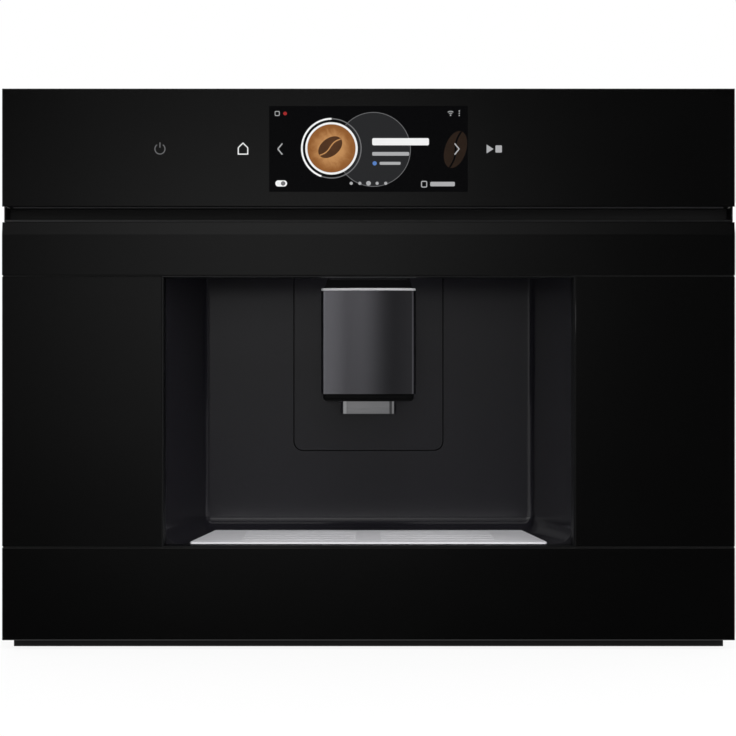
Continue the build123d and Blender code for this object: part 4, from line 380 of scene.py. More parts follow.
# %% [markdown]
# ### Moulded skin
# A mould for satin plastic is spark eroded, which leaves a skin of tiny pits. The plastic also flows, so
# its gloss wanders a little over a hand's width.

# %% Moulded skin group
MOULDED, given, result = open_group(
    "moulded skin", [("Grain Scale", NUMBER, 1800.0), ("Flow Scale", NUMBER, 9.0)], ["Height", "Tone"])
MOULDED.links.new(object_noise(MOULDED, given["Grain Scale"], 3.0, roughness=0.65), result["Height"])
MOULDED.links.new(object_noise(MOULDED, given["Flow Scale"], 0.0), result["Tone"])
print("moulded skin:", len(MOULDED.nodes), "nodes")

# %% [markdown]
# ### Dust
# Dust settles on what faces up. The mask is the upward part of the normal, broken up by a fine noise.

# %% Dust group
DUST, given, result = open_group("dust", [("Amount", NUMBER, 0.3), ("Scale", NUMBER, 220.0)], ["Mask"])
normal = put(DUST, "ShaderNodeNewGeometry").outputs["Normal"]
upward = smooth_step(DUST, put(DUST, "ShaderNodeSeparateXYZ", {0: normal}).outputs[2], 0.55, 0.95)
specks = smooth_step(DUST, object_noise(DUST, given["Scale"], 5.0, roughness=0.7), 0.42, 0.68)
DUST.links.new(times(DUST, upward, specks, given["Amount"]), result["Mask"])
print("dust:", len(DUST.nodes), "nodes")

# %% [markdown]
# ### Zinc crystals
# Hot-dip galvanised sheet shows its zinc crystals as flat patches, each a slightly different grey.

# %% Zinc crystal group
CRYSTALS, given, result = open_group("zinc crystals", [("Scale", NUMBER, 90.0)], ["Tone", "Seam"])
place = object_place(CRYSTALS)
bent = put(CRYSTALS, "ShaderNodeTexNoise", {"Vector": place, "Scale": 45.0, "Detail": 2.0}).outputs["Color"]
shift = put(CRYSTALS, "ShaderNodeVectorMath", {0: bent, "Scale": 0.008}, operation="SCALE").outputs[0]
moved = vectors(CRYSTALS, "ADD", place, shift)
cells = put(CRYSTALS, "ShaderNodeTexVoronoi", {"Vector": moved, "Scale": given["Scale"]}).outputs
tone = put(CRYSTALS, "ShaderNodeSeparateColor", {0: cells["Color"]}).outputs[0]
CRYSTALS.links.new(tone, result["Tone"])
CRYSTALS.links.new(cells["Distance"], result["Seam"])
print("zinc crystals:", len(CRYSTALS.nodes), "nodes")

# %% [markdown]
# ## Finishes
# One function opens a material and sets the plain numbers of its shader directly, which keeps them
# readable. What varies over the surface is then wired in by another.

# %% Helpers that open and dress a finish
def open_finish(name, roughness=0.4, metallic=0.0, specular=0.5, **more):
    """A material with its constant shader numbers set; returns it, its tree and its shader."""
    material = bpy.data.materials.new(name)
    material.use_nodes = True
    shader = material.node_tree.nodes["Principled BSDF"]
    numbers = {"Roughness": roughness, "Metallic": metallic, "Specular_IOR_Level": specular, **more}
    for key, value in numbers.items():
        shader.inputs[key.replace("_", " ")].default_value = value
    return material, material.node_tree, shader


def use(tree, group, **settings):
    """Places a shared group with this material's own values."""
    node = put(tree, "ShaderNodeGroup", node_tree=group)
    for key, value in settings.items():
        node.inputs[key.replace("_", " ")].default_value = value
    return node.outputs


def dress(tree, shader, colour, gloss, height=None, depth=0.0):
    """Wires colour and roughness, and a height as a bump of the given depth in metres."""
    tree.links.new(colour, shader.inputs["Base Color"])
    tree.links.new(gloss, shader.inputs["Roughness"])
    if height is not None:
        bump = put(tree, "ShaderNodeBump", {"Height": height, "Distance": depth, "Strength": 1.0})
        tree.links.new(bump.outputs[0], shader.inputs["Normal"])


# %% [markdown]
# ### Black glass
# The front is float glass printed black on its back. The print gives a very deep black, and the glass
# before it mirrors the room at four parts in a hundred. Faint wipe marks change only the gloss.

# %% Black glass
BLACK_GLASS, tree, shader = open_finish("black glass", roughness=0.03)
wipes = smooth_step(tree, object_noise(tree, 9.0, 3.0, (1.0, 1.0, 2.2)), 0.45, 0.8)
dust = use(tree, DUST, Amount=0.10, Scale=400.0)["Mask"]
deep = blend_colour(tree, wipes, grey(0.0010), grey(0.0012))
dress(tree, shader, blend_colour(tree, dust, deep, (0.25, 0.25, 0.24)),
      plus(tree, between(tree, wipes, 0.025, 0.05), dust))
print("black glass:", len(tree.nodes), "nodes")

# %% [markdown]
# ### Satin black and niche grey
# The frame, the tray and the inner mouldings are dyed black plastic; the niche is the same plastic in a
# dark blue grey with a finer skin, glossy enough to pick up the soft glow of the room.

# %% Moulded plastics
def moulded_finish(name, colour, pale, low_gloss, high_gloss, grain, depth, dust_amount=0.15, specular=0.5):
    """Dyed, spark-eroded plastic: base colour, flow of gloss, worn edges and dust."""
    material, tree, shader = open_finish(name, specular=specular)
    skin = use(tree, MOULDED, Grain_Scale=grain)
    wear = use(tree, EDGE_WEAR, Radius=0.0005, Strength=3.0)["Mask"]
    dust = use(tree, DUST, Amount=dust_amount)["Mask"]
    flow = blend_colour(tree, skin["Tone"], colour, tuple(1.08 * c for c in colour))
    worn = blend_colour(tree, times(tree, wear, 0.35), flow, pale)
    gloss = plus(tree, between(tree, skin["Tone"], low_gloss, high_gloss), times(tree, dust, 0.5))
    dress(tree, shader, blend_colour(tree, dust, worn, (0.22, 0.21, 0.20)), gloss, skin["Height"], depth)
    return material


SATIN_BLACK = moulded_finish(
    "satin black", (0.0042, 0.0042, 0.0044), (0.02, 0.02, 0.021), 0.42, 0.48, 1600.0, 2e-5, 0.03, 0.2)
NICHE_GREY = moulded_finish(
    "niche grey", (0.0091, 0.0087, 0.0112), (0.012, 0.012, 0.015), 0.17, 0.20, 2600.0, 2e-6, 0.02, 0.92)
OUTLET_BLACK = moulded_finish(
    "outlet black", (0.0016, 0.0016, 0.0017), (0.006, 0.006, 0.0065), 0.5, 0.56, 1600.0, 1e-5, 0.004, 0.12)
RED_CAP = moulded_finish("red cap", (0.35, 0.03, 0.03), (0.55, 0.20, 0.18), 0.35, 0.42, 1500.0, 2e-5)
RUBBER = moulded_finish("rubber", grey(0.020), grey(0.06), 0.75, 0.85, 900.0, 4e-5)
print("moulded finishes: 5")

# %% [markdown]
# ### Brushed and polished metals
# Metal has no colour of its own apart from its reflection, so grain shows as changes of roughness and of
# tilt. The direction of brushing matters: the outlet's cover is brushed upright, the drip plate across.

# %% Metals
def brushed_finish(name, colour, stretch, low, high, depth, wear_level, scale=4000.0, spread=0.07,
                   metallic=1.0):
    """Brushed metal with the belt's direction given by the short axis of stretch."""
    material, tree, shader = open_finish(name, metallic=metallic)
    grain = use(tree, BRUSHED, Stretch=stretch, Scale=scale)
    wear = use(tree, EDGE_WEAR, Radius=0.0004, Strength=4.0)["Mask"]
    dull, bright = tuple((1 - spread) * c for c in colour), tuple((1 + spread) * c for c in colour)
    tone = blend_colour(tree, grain["Tone"], dull, bright)
    worn = blend_colour(tree, times(tree, wear, 0.5), tone, grey(wear_level))
    dress(tree, shader, worn, between(tree, grain["Tone"], low, high), grain["Height"], depth)
    return material


ALONG_X, ALONG_Z = (0.015, 1, 1), (1, 1, 0.02)
GRAPHITE = brushed_finish(
    "graphite steel", (0.31, 0.307, 0.336), (1, 1, 0.008), 0.22, 0.24, 1.2e-6, 0.5, spread=0.02)
STEEL = brushed_finish("brushed steel", (0.60, 0.60, 0.61), (0.012, 1, 1), 0.30, 0.38, 5e-6, 0.8)
CHROME = brushed_finish("bright chrome", (0.80, 0.80, 0.82), (0.02, 1, 1), 0.06, 0.09, 5e-7, 0.9)
BURR = brushed_finish("burr steel", (0.38, 0.38, 0.39), (1, 1, 0.05), 0.25, 0.4, 1e-5, 0.7, 2500.0)
MAGNET = brushed_finish("plated parts", (0.34, 0.34, 0.35), (1, 0.3, 1), 0.3, 0.45, 1e-5, 0.6, 900.0)
PLATE = brushed_finish(
    "satin plate steel", (0.79, 0.785, 0.815), ALONG_X, 0.40, 0.46, 2e-6, 0.85, metallic=0.1)
BRIGHT_BAR = brushed_finish(
    "bright outlet bar", (0.52, 0.515, 0.535), ALONG_X, 0.36, 0.42, 2e-6, 0.7, metallic=0.1)
DARK_TRIM = brushed_finish("dark window trim", (0.07, 0.07, 0.072), ALONG_Z, 0.3, 0.38, 4e-6, 0.12)
HINGE_STEEL = brushed_finish("blackened hinge steel", (0.05, 0.05, 0.052), ALONG_X, 0.4, 0.5, 4e-6, 0.09)
EDGE_STRIP = brushed_finish("dark edge strip", (0.085, 0.085, 0.086), ALONG_X, 0.26, 0.34, 4e-6, 0.1)
print("brushed finishes: 10")

# %% Galvanised sheet and cast aluminium
ZINC, tree, shader = open_finish("galvanised sheet", metallic=0.9)
zinc = use(tree, CRYSTALS, Scale=110.0)
dust = use(tree, DUST, Amount=0.35)["Mask"]
wear = use(tree, EDGE_WEAR, Radius=0.0005, Strength=4.0)["Mask"]
sheet = blend_colour(tree, zinc["Tone"], (0.42, 0.43, 0.445), (0.60, 0.61, 0.62))
sheet = blend_colour(tree, times(tree, wear, 0.6), sheet, grey(0.75))
dress(tree, shader, blend_colour(tree, dust, sheet, (0.35, 0.34, 0.32)),
      plus(tree, between(tree, zinc["Tone"], 0.34, 0.52), dust), zinc["Seam"], 2e-5)

CAST, tree, shader = open_finish("cast aluminium", metallic=1.0)
skin = use(tree, MOULDED, Grain_Scale=700.0)
dress(tree, shader, blend_colour(tree, skin["Tone"], (0.52, 0.52, 0.53), (0.64, 0.64, 0.65)),
      between(tree, skin["Height"], 0.40, 0.62), skin["Height"], 8e-5)
print("sheet and casting done")

# %% [markdown]
# ### Circuit board, clear plastic, lens and hose
# The board's green lacquer lies over copper tracks, which show as slightly raised paler lines. The tank is
# a smoked clear plastic: thin, so it needs only a little body colour and a gloss that is not quite even.

# %% Board, tank, lamp lens and hose
BOARD, tree, shader = open_finish("lacquered board", roughness=0.28)
tracks = put(tree, "ShaderNodeTexBrick", {
    "Vector": object_place(tree), "Scale": 60.0, "Mortar Size": 0.03, "Color1": (0, 0, 0, 1),
    "Color2": (0, 0, 0, 1), "Mortar": (1, 1, 1, 1)}).outputs["Fac"]
dress(tree, shader, blend_colour(tree, tracks, (0.012, 0.085, 0.035), (0.03, 0.16, 0.07)),
      between(tree, object_noise(tree, 300.0), 0.22, 0.36), tracks, 4e-5)

CLEAR, tree, shader = open_finish("smoked clear plastic", roughness=0.12, Transmission_Weight=0.92, IOR=1.2)
flow = object_noise(tree, 25.0, 2.0)
dress(tree, shader, blend_colour(tree, flow, (0.62, 0.65, 0.68), (0.70, 0.73, 0.76)),
      between(tree, flow, 0.06, 0.16))

LENS, tree, shader = open_finish("opal lens", roughness=0.35)
ribs = put(tree, "ShaderNodeTexWave", {"Vector": object_place(tree), "Scale": 160.0}).outputs["Fac"]
dress(tree, shader, blend_colour(tree, ribs, (0.78, 0.78, 0.75), (0.86, 0.86, 0.84)),
      between(tree, ribs, 0.3, 0.42), ribs, 1e-4)

HOSE, tree, shader = open_finish("silicone hose", roughness=0.4)
milky = object_noise(tree, 60.0, 3.0)
dress(tree, shader, blend_colour(tree, milky, (0.50, 0.49, 0.46), (0.62, 0.61, 0.58)),
      between(tree, milky, 0.34, 0.5), milky, 1e-4)
print("board, tank, lens and hose done")

# %% [markdown]
# ## Dressing the solids
# Every solid carries the name of its finish from the CAD model. One table turns those names into the
# materials above. A second names the few solids that get a finish of their own.

# %% Give each solid its finish
SCREEN_BLACK, tree, shader = open_finish("screen black", roughness=0.03, specular=0.06)
dress(tree, shader,
      blend_colour(tree, object_noise(tree, 700.0), (0.0012, 0.0012, 0.0014), (0.0017, 0.0017, 0.0019)),
      between(tree, object_noise(tree, 30.0), 0.025, 0.045))
FINISHES = {
    "black_glass": BLACK_GLASS, "black_satin": SATIN_BLACK, "niche_grey": NICHE_GREY,
    "graphite_steel": GRAPHITE, "steel": STEEL, "chrome": CHROME, "zinc_sheet": ZINC, "display": SCREEN_BLACK,
    "board_green": BOARD, "clear_tank": CLEAR, "lamp_lens": LENS, "rubber": RUBBER, "hose": HOSE,
    "boiler_metal": CAST, "burr_steel": BURR, "magnet": MAGNET, "red_cap": RED_CAP,
}
OWN_FINISH = {
    "drip_plate": PLATE, "outlet_trim": BRIGHT_BAR, "window_trim": DARK_TRIM, "outlet_body": OUTLET_BLACK,
    "door_hinges": HINGE_STEEL,
}
for name, node in NODES.items():
    for slot in node.material_slots:
        slot.material = OWN_FINISH.get(name) or FINISHES[slot.material.name.split(".")[0]]
print("dressed", len(NODES), "solids with", len(FINISHES) + len(OWN_FINISH), "finishes")

# %% [markdown]
# ## Meshes from rings
# The pieces that follow are small closed shells. Most are a few rings of points, one behind the other, with
# faces between them and a cap on each end, so one helper does that and another makes the object.

# %% Helpers for meshes
def join_rings(bm, rings):
    """Faces between rings of as many points each, and caps on the first and the last."""
    bm.faces.new(rings[0][::-1])
    bm.faces.new(rings[-1])
    for a, b in zip(rings, rings[1:]):
        for i in range(len(a)):
            j = (i + 1) % len(a)
            bm.faces.new((a[i], a[j], b[j], b[i]))


def solid_from(bm, name, finishes=()):
    """An object from the builder's faces, all turned outwards."""
    bmesh.ops.recalc_face_normals(bm, faces=bm.faces[:])
    mesh = bpy.data.meshes.new(name)
    bm.to_mesh(mesh)
    bm.free()
    for finish in finishes:
        mesh.materials.append(finish)
    return bpy.data.objects.new(name, mesh)


def add_piece(piece, body):
    """Puts a piece in the scene, on its body."""
    SCENE.collection.objects.link(piece)
    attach(piece, body)
    return piece


# %% [markdown]
# ## Flat shapes for marks and screens
# The marks on the panel and the picture on the screen are thin plates. Each is drawn as an outline in
# millimetres on the front, x to the right and z up, then given a little thickness. Plates of one picture
# lie a few hundredths of a millimetre apart, so none fights with another for the same place.

# %% Outlines and the plate builder
def circle(x, z, radius, steps=48, start=0.0, end=360.0):
    """Points round a circle, or along part of one, anticlockwise from the front."""
    closed = abs(end - start) >= 360.0
    count = steps if closed else steps + 1
    turns = [math.radians(start + (end - start) * i / steps) for i in range(count)]
    return [(x + radius * math.cos(t), z + radius * math.sin(t)) for t in turns]


def soft_bar(x0, z0, x1, z1, radius):
    """A rectangle with rounded corners."""
    points = []
    for cx, cz, start in ((x1 - radius, z0 + radius, -90), (x1 - radius, z1 - radius, 0),
                          (x0 + radius, z1 - radius, 90), (x0 + radius, z0 + radius, 180)):
        points += circle(cx, cz, radius, 8, start, start + 90)
    return points


def band(outer, inner):
    """The strip between two outlines of equal count, as a list of four-sided outlines."""
    count = len(outer)
    return [[outer[i], outer[(i + 1) % count], inner[(i + 1) % count], inner[i]] for i in range(count)]


def arc_band(x, z, radius, width, start, end, steps=40):
    """A curved stroke."""
    outer = circle(x, z, radius + width / 2, steps, start, end)
    inner = circle(x, z, radius - width / 2, steps, start, end)
    return band(outer, inner)[:steps]


def stroke(x0, z0, x1, z1, width):
    """A straight stroke."""
    length = math.hypot(x1 - x0, z1 - z0)
    nx, nz = -(z1 - z0) / length * width / 2, (x1 - x0) / length * width / 2
    return [(x0 - nx, z0 - nz), (x1 - nx, z1 - nz), (x1 + nx, z1 + nz), (x0 + nx, z0 + nz)]


def plates(name, groups, front, thickness=0.04):
    """One object of thin plates. groups is a list of (outlines, finish, steps forward in mm)."""
    bm = bmesh.new()
    finishes = []
    for outlines, finish, forward in groups:
        if finish not in finishes:
            finishes.append(finish)
        near, far = front - forward * MM, front - forward * MM + thickness * MM
        for outline in outlines:
            a = [bm.verts.new((x * MM, near, z * MM)) for x, z in outline]
            b = [bm.verts.new((x * MM, far, z * MM)) for x, z in outline]
            faces = [bm.faces.new(a), bm.faces.new(b[::-1])]
            for i in range(len(outline)):
                j = (i + 1) % len(outline)
                faces.append(bm.faces.new((a[i], b[i], b[j], a[j])))
            for face in faces:
                face.material_index = finishes.index(finish)
    return solid_from(bm, name, finishes)


# %% [markdown]
# ## The control pane
# On the real machine one pane of glass runs over the whole panel, with the screen bonded behind it. Here
# the pane is made with a shallow window at the screen, half a millimetre deep, that takes the picture's
# plates, so nothing stands proud of the glass.

# %% Control pane with the screen's window
PANE_SET = 0.05 * MM
POCKET = 0.55 * MM
CHAMFER = 0.5 * MM


def rectangle(low, high, y, inset=0.0):
    """Corners of an upright rectangle, anticlockwise from the front."""
    x0, x1, z0, z1 = low.x + inset, high.x - inset, low.z + inset, high.z - inset
    return [(x0, y, z0), (x1, y, z0), (x1, y, z1), (x0, y, z1)]


def control_pane():
    """Glass pane with polished edges and the screen's window, as one closed mesh."""
    y_front = FACE + PANE_SET
    loops = [
        rectangle(GLASS_LOW, GLASS_HIGH, GLASS_HIGH.y, CHAMFER),
        rectangle(GLASS_LOW, GLASS_HIGH, GLASS_HIGH.y - CHAMFER),
        rectangle(GLASS_LOW, GLASS_HIGH, y_front + CHAMFER),
        rectangle(GLASS_LOW, GLASS_HIGH, y_front, CHAMFER),
        rectangle(SCREEN_LOW, SCREEN_HIGH, y_front),
        rectangle(SCREEN_LOW, SCREEN_HIGH, y_front + POCKET),
    ]
    bm = bmesh.new()
    join_rings(bm, [[bm.verts.new(corner) for corner in loop] for loop in loops])
    return solid_from(bm, "control_pane", [BLACK_GLASS])


pane = add_piece(control_pane(), "housing")
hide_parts("control_glass")
print("control pane faces:", len(pane.data.polygons))

# %% [markdown]
# ## Light behind the glass
# The marks and the screen shine by themselves. Each colour is an emission of plain strength, so it shows
# as written, under the same gloss as the glass.

# %% Lit colours
def open_lit(name):
    """A material that shines behind glossy glass."""
    return open_finish(
        name, roughness=0.03, specular=0.12, Base_Color=(*grey(0.003), 1), Emission_Strength=1.0)


def light_up(tree, shader, colour, cloud):
    """Wires the lit colour, and a gloss that varies a little with the cloud."""
    tree.links.new(colour, shader.inputs["Emission Color"])
    tree.links.new(between(tree, cloud, 0.02, 0.04), shader.inputs["Roughness"])


def lit_finish(name, colour, uneven=0.06):
    """A lit colour under glass, with the slight unevenness of a diffuser."""
    material, tree, shader = open_lit(name)
    cloud = object_noise(tree, 120.0, 2.0)
    low = tuple(c * (1 - uneven) for c in colour)
    light_up(tree, shader, blend_colour(tree, cloud, low, colour), cloud)
    return material


LIT_WHITE = lit_finish("lit white", grey(0.90))
LIT_PALE = lit_finish("lit pale grey", (0.42, 0.42, 0.43))
LIT_GREY = lit_finish("lit grey", (0.16, 0.16, 0.165))
LIT_DIM = lit_finish("lit dim grey", (0.016, 0.0165, 0.018))
LIT_RED = lit_finish("lit red", (0.35, 0.02, 0.02))
LIT_BLUE = lit_finish("lit blue", (0.10, 0.22, 0.55))
LIT_BROWN = lit_finish("lit dark roast", (0.10, 0.040, 0.014), uneven=0.5)
LIT_SHADE = lit_finish("lit roast in shade", (0.022, 0.011, 0.0055), uneven=0.5)
print("lit colours: 8")

# %% [markdown]
# ### The warm disc
# The picture's centre is a disc the colour of coffee foam: pale tan in the middle, browner at its rim,
# with a few slow swirls. Distance from the disc's own centre drives the colour, and a warped noise adds
# the swirls.

# %% Foam colour
DISC_X, DISC_Z, DISC_R = -30.0, 406.5, 19.5
FOAM, tree, shader = open_lit("lit foam")
flat = vectors(tree, "MULTIPLY", object_place(tree), (1, 0, 1))
reach = vectors(tree, "LENGTH", vectors(tree, "SUBTRACT", flat, (DISC_X * MM, 0, DISC_Z * MM)))
warped = {"Vector": flat, "Scale": 130.0, "Detail": 4.0, "Distortion": 1.6}
swirl = put(tree, "ShaderNodeTexNoise", warped).outputs[0]
ripple = times(tree, maths(tree, "SUBTRACT", swirl, 0.5), 0.55)
ring = smooth_step(tree, plus(tree, maths(tree, "DIVIDE", reach, DISC_R * MM), ripple), 0.35, 0.95)
light_up(tree, shader, blend_colour(tree, ring, (0.53, 0.26, 0.095), (0.27, 0.10, 0.024)), swirl)
print("foam disc radius:", DISC_R, "mm")

# %% [markdown]
# ### The screen's picture
# The screen shows a made-up start page without words: a bean on a warm disc inside a strength ring, bars
# where a page would have its lines, page dots, arrows at the sides and a few status marks. Its layers are
# named for how far forward of the screen's ground they lie, in millimetres.

# %% Picture on the screen
GROUND, HALO, HALO_RIM, BEHIND, FRONT, TOP = 0.0, 0.06, 0.10, 0.12, 0.18, 0.24
HALO_X, HALO_Z, HALO_R, RING_R = DISC_X + 34, DISC_Z - 0.8, 30.0, 24.0
MARGIN = 0.2


def bean(x, z, long_r, short_r, tilt, steps=24):
    """A coffee bean seen from its flat side: two halves with a curved gap."""
    c, n = math.cos(math.radians(tilt)), math.sin(math.radians(tilt))
    halves = []
    for side in (-1, 1):
        outline = []
        for i in range(steps + 1):
            t = math.pi * i / steps
            outline.append((long_r * math.cos(t), side * short_r * math.sin(t)))
        for i in range(steps + 1):
            s = -1 + 2 * i / steps
            bow = 0.16 * short_r * math.sin(math.pi * s)
            outline.append((long_r * s * 0.97, side * 0.045 * long_r + bow))
        halves.append([(x + a * c - b * n, z + a * n + b * c) for a, b in outline])
    return halves


def arrow(side):
    """A thin arrow head at the screen's left (-1) or right (1) edge."""
    return [stroke(side * 73.5, 406, side * 69.8, z, 1.0) for z in (410.5, 401.5)]


def frame_bar(x0, z0, x1, z1, radius, line, inner_radius):
    """The outline of a rounded box, drawn as a line."""
    inner = soft_bar(x0 + line, z0 + line, x1 - line, z1 - line, inner_radius)
    return band(soft_bar(x0, z0, x1, z1, radius), inner)


left, right = SCREEN_LOW.x / MM + MARGIN, SCREEN_HIGH.x / MM - MARGIN
low, high = SCREEN_LOW.z / MM + MARGIN, SCREEN_HIGH.z / MM - MARGIN
signal = arc_band(66.5, 433.2, 3.4, 0.6, 50, 130, 16) + arc_band(66.5, 433.2, 1.9, 0.6, 50, 130, 12)
picture = [
    ([[(left, low), (right, low), (right, high), (left, high)]], SCREEN_BLACK, GROUND),
    ([circle(HALO_X, HALO_Z, HALO_R, 96)], LIT_DIM, HALO),
    (arc_band(HALO_X, HALO_Z, HALO_R, 0.5, 0, 360, 96), LIT_GREY, HALO_RIM),
    (arc_band(DISC_X, DISC_Z, RING_R, 0.9, 0, 360, 96), LIT_GREY, BEHIND),
    (arc_band(DISC_X, DISC_Z, RING_R, 1.5, 90, 250, 64), LIT_WHITE, FRONT),
    (arc_band(DISC_X, DISC_Z, DISC_R + 0.9, 1.7, 0, 360, 96), LIT_WHITE, FRONT),
    ([circle(DISC_X, DISC_Z, DISC_R, 96)], FOAM, FRONT),
    (bean(DISC_X - 1.0, DISC_Z + 1.0, 11.0, 7.2, 38), LIT_BROWN, TOP),
    ([soft_bar(3.0, 409.0, 49.0, 414.8, 1.2)], LIT_WHITE, FRONT),
    ([soft_bar(3.0, 400.6, 33.0, 403.6, 0.9)], LIT_PALE, FRONT),
    ([circle(5.0, 394.4, 1.7, 24)], LIT_BLUE, FRONT),
    ([soft_bar(9.0, 393.2, 26.0, 395.6, 0.8)], LIT_PALE, FRONT),
    ([circle(x, 378.2, 1.3 if x else 1.9, 20) for x in (-14, -7, 0, 7, 14)], LIT_PALE, FRONT),
    (arrow(-1), LIT_PALE, FRONT),
    (arrow(1), LIT_PALE, FRONT),
    (bean(70.5, 405.6, 15.5, 8.6, 72), LIT_SHADE, BEHIND),
    ([soft_bar(50.0, 375.8, 70.0, 379.4, 1.0)], LIT_PALE, FRONT),
    (frame_bar(42.6, 374.8, 47.6, 380.2, 1.2, 0.8, 0.5), LIT_PALE, FRONT),
    ([soft_bar(-75.5, 375.6, -66.0, 380.6, 2.45)], LIT_WHITE, FRONT),
    ([circle(-69.2, 378.1, 1.8, 24)], LIT_GREY, TOP),
    (signal + [circle(66.5, 433.4, 0.6, 12)], LIT_PALE, FRONT),
    ([circle(73.6, z, 0.55, 12) for z in (433.2, 435.0, 436.8)], LIT_PALE, FRONT),
    (frame_bar(-76.0, 432.8, -72.0, 436.8, 0.9, 0.6, 0.4), LIT_PALE, FRONT),
    ([circle(-67.6, 434.8, 1.5, 24)], LIT_RED, FRONT),
]
screen = plates("screen_picture", picture, FACE + PANE_SET + POCKET - 0.06 * MM)
add_piece(screen, "housing")
print("screen plates:", len(screen.data.polygons), "faces")

# %% [markdown]
# ## Touch marks
# Three marks shine through the print beside the screen: power, home, and one for starting and stopping,
# drawn as the usual triangle and square. They lie flush with the face.

# %% Touch marks
MARK_Z = 406.0
POWER_X, HOME_X, START_X = -169.0, -101.7, 101.7
LINE = 0.75


def house(half, floor, eaves, roof):
    """Outline of the home mark, in mm from its middle."""
    corners = ((-half, floor), (half, floor), (half, eaves), (0, roof), (-half, eaves))
    return [(HOME_X + x, MARK_Z + z) for x, z in corners]


power = arc_band(POWER_X, MARK_Z, 4.1, LINE, 125, 415, 48)
power += [stroke(POWER_X, MARK_Z + 1.0, POWER_X, MARK_Z + 5.4, LINE)]
start_stop = [[(START_X - 6.0, MARK_Z - 3.6), (START_X - 0.4, MARK_Z), (START_X - 6.0, MARK_Z + 3.6)],
              soft_bar(START_X + 1.2, MARK_Z - 2.9, START_X + 6.4, MARK_Z + 2.9, 0.6)]
marks = plates("touch_marks", [
    (power, LIT_GREY, 0.0),
    (band(house(4.3, -4.6, 1.2, 5.4), house(3.4, -3.7, 0.85, 4.15)), LIT_WHITE, 0.0),
    (start_stop, LIT_PALE, 0.0),
], FACE, 0.08)
add_piece(marks, "housing")
print("touch marks:", len(marks.data.polygons), "faces")

# %% [markdown]
# ## Rails: seals, strips and lips
# Thin strips finish the joints of the front: rubber seals between the door's panes, a dark metal strip on
# the door's upper edge where fingers pull, a lip under the control panel, a soft lining in the grip recess
# and a fine line across the outlet's sloping roof. On the real machine they are extruded or rolled, so
# each is a rounded profile drawn along x with its ends drawn in a little.

# %% Rail builder
END_SHRINK = 0.7


def rails(name, runs, finish, body):
    """One object of rounded bars along x. Each run is (x0, x1, y0, z0, y1, z1, corner radius) in mm."""
    bm = bmesh.new()
    for x0, x1, y0, z0, y1, z1, radius in runs:
        middle_y, middle_z = (y0 + y1) / 2, (z0 + z1) / 2
        rings = []
        for x, shrink in ((x0, END_SHRINK), (x0 + radius, 1.0), (x1 - radius, 1.0), (x1, END_SHRINK)):
            ring = []
            for y, z in soft_bar(y0, z0, y1, z1, radius):
                y, z = middle_y + (y - middle_y) * shrink, middle_z + (z - middle_z) * shrink
                ring.append(bm.verts.new((x * MM, y * MM, z * MM)))
            rings.append(ring)
        join_rings(bm, rings)
    return add_piece(solid_from(bm, name, [finish]), body)


# %% [markdown]
# The joints lie between the panes, so their heights come from the panes' own boxes. A seal sits half a
# millimetre behind the glass and fills the joint, which turns a black gap into a soft, slightly paler line.
# Small seals under the recess's end caps keep most daylight out of its corners. A run's numbers are
# millimetres from the edges that they are written beside, and its last one is the corners' radius.

# %% Joint seals, edge strip and panel lip
TOP_LOW, TOP_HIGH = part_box("door_glass_top")
SIDE_LOW, SIDE_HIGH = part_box("door_glass_left")
FOOT_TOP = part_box("door_glass_bottom")[1].z / MM
TRIM_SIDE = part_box("window_trim")[1].x / MM
FACE_MM, WIDE = FACE / MM, GLASS_HIGH.x / MM
DOOR_TOP, PANEL_LOW = TOP_HIGH.z / MM, GLASS_LOW.z / MM
FRAME_Y = -172.0
SEAL = moulded_finish("joint seal", grey(0.006), grey(0.010), 0.5, 0.6, 1200.0, 1e-5, 0.01, 0.2)
LIP = moulded_finish(
    "panel lip", (0.0065, 0.0065, 0.007), (0.012, 0.012, 0.0125), 0.4, 0.46, 1500.0, 1e-5, 0.0, 0.3)
LINING = moulded_finish("grip lining", grey(0.0115), grey(0.015), 0.55, 0.62, 1400.0, 2e-5, 0.0, 0.2)
joint_runs, end_runs = [], []
for low_z, high_z in ((SIDE_HIGH.z / MM, TOP_LOW.z / MM), (FOOT_TOP, SIDE_LOW.z / MM)):
    for side in (-1, 1):
        ends = sorted((side * (TRIM_SIDE + 0.3), side * (WIDE - 0.5)))
        joint_runs.append((*ends, FACE_MM + 0.5, low_z + 0.05, FACE_MM + 3.5, high_z - 0.05, 0.3))
for side in (-1, 1):
    corner = sorted((side * (WIDE - 1.5), side * (WIDE - 6)))
    under_cap = sorted((side * (WIDE - 1.5), side * (WIDE - 2.3)))
    end_runs.append((*corner, FRAME_Y + 0.1, DOOR_TOP - 15, FRAME_Y + 1.6, DOOR_TOP + 0.5, 0.2))
    end_runs.append((*under_cap, FRAME_Y - 13.5, DOOR_TOP - 1.3, FRAME_Y - 5.5, DOOR_TOP + 0.5, 0.2))
strip_run = (-WIDE + 1.5, WIDE - 1.5, FACE_MM + 1.9, DOOR_TOP, FACE_MM + 3.9, DOOR_TOP + 1.9, 0.45)
lip_run = (-WIDE + 9, WIDE - 9, FACE_MM + 1.0, PANEL_LOW - 1.6, FACE_MM + 3.4, PANEL_LOW - 0.05, 0.5)
lining_run = (-WIDE + 3, WIDE - 3, FRAME_Y - 0.7, PANEL_LOW - 9.2, FRAME_Y, PANEL_LOW - 0.6, 0.3)
front_rails = (
    rails("joint_seals", joint_runs, SEAL, "door"),
    rails("door_edge_strip", [strip_run], EDGE_STRIP, "door"),
    rails("panel_lip", [lip_run], LIP, "housing"),
    rails("grip_lining", [lining_run], LINING, "housing"),
    rails("recess_end_seals", end_runs, SEAL, "housing"),
)
print("rails:", sum(len(rail.data.polygons) for rail in front_rails), "faces")

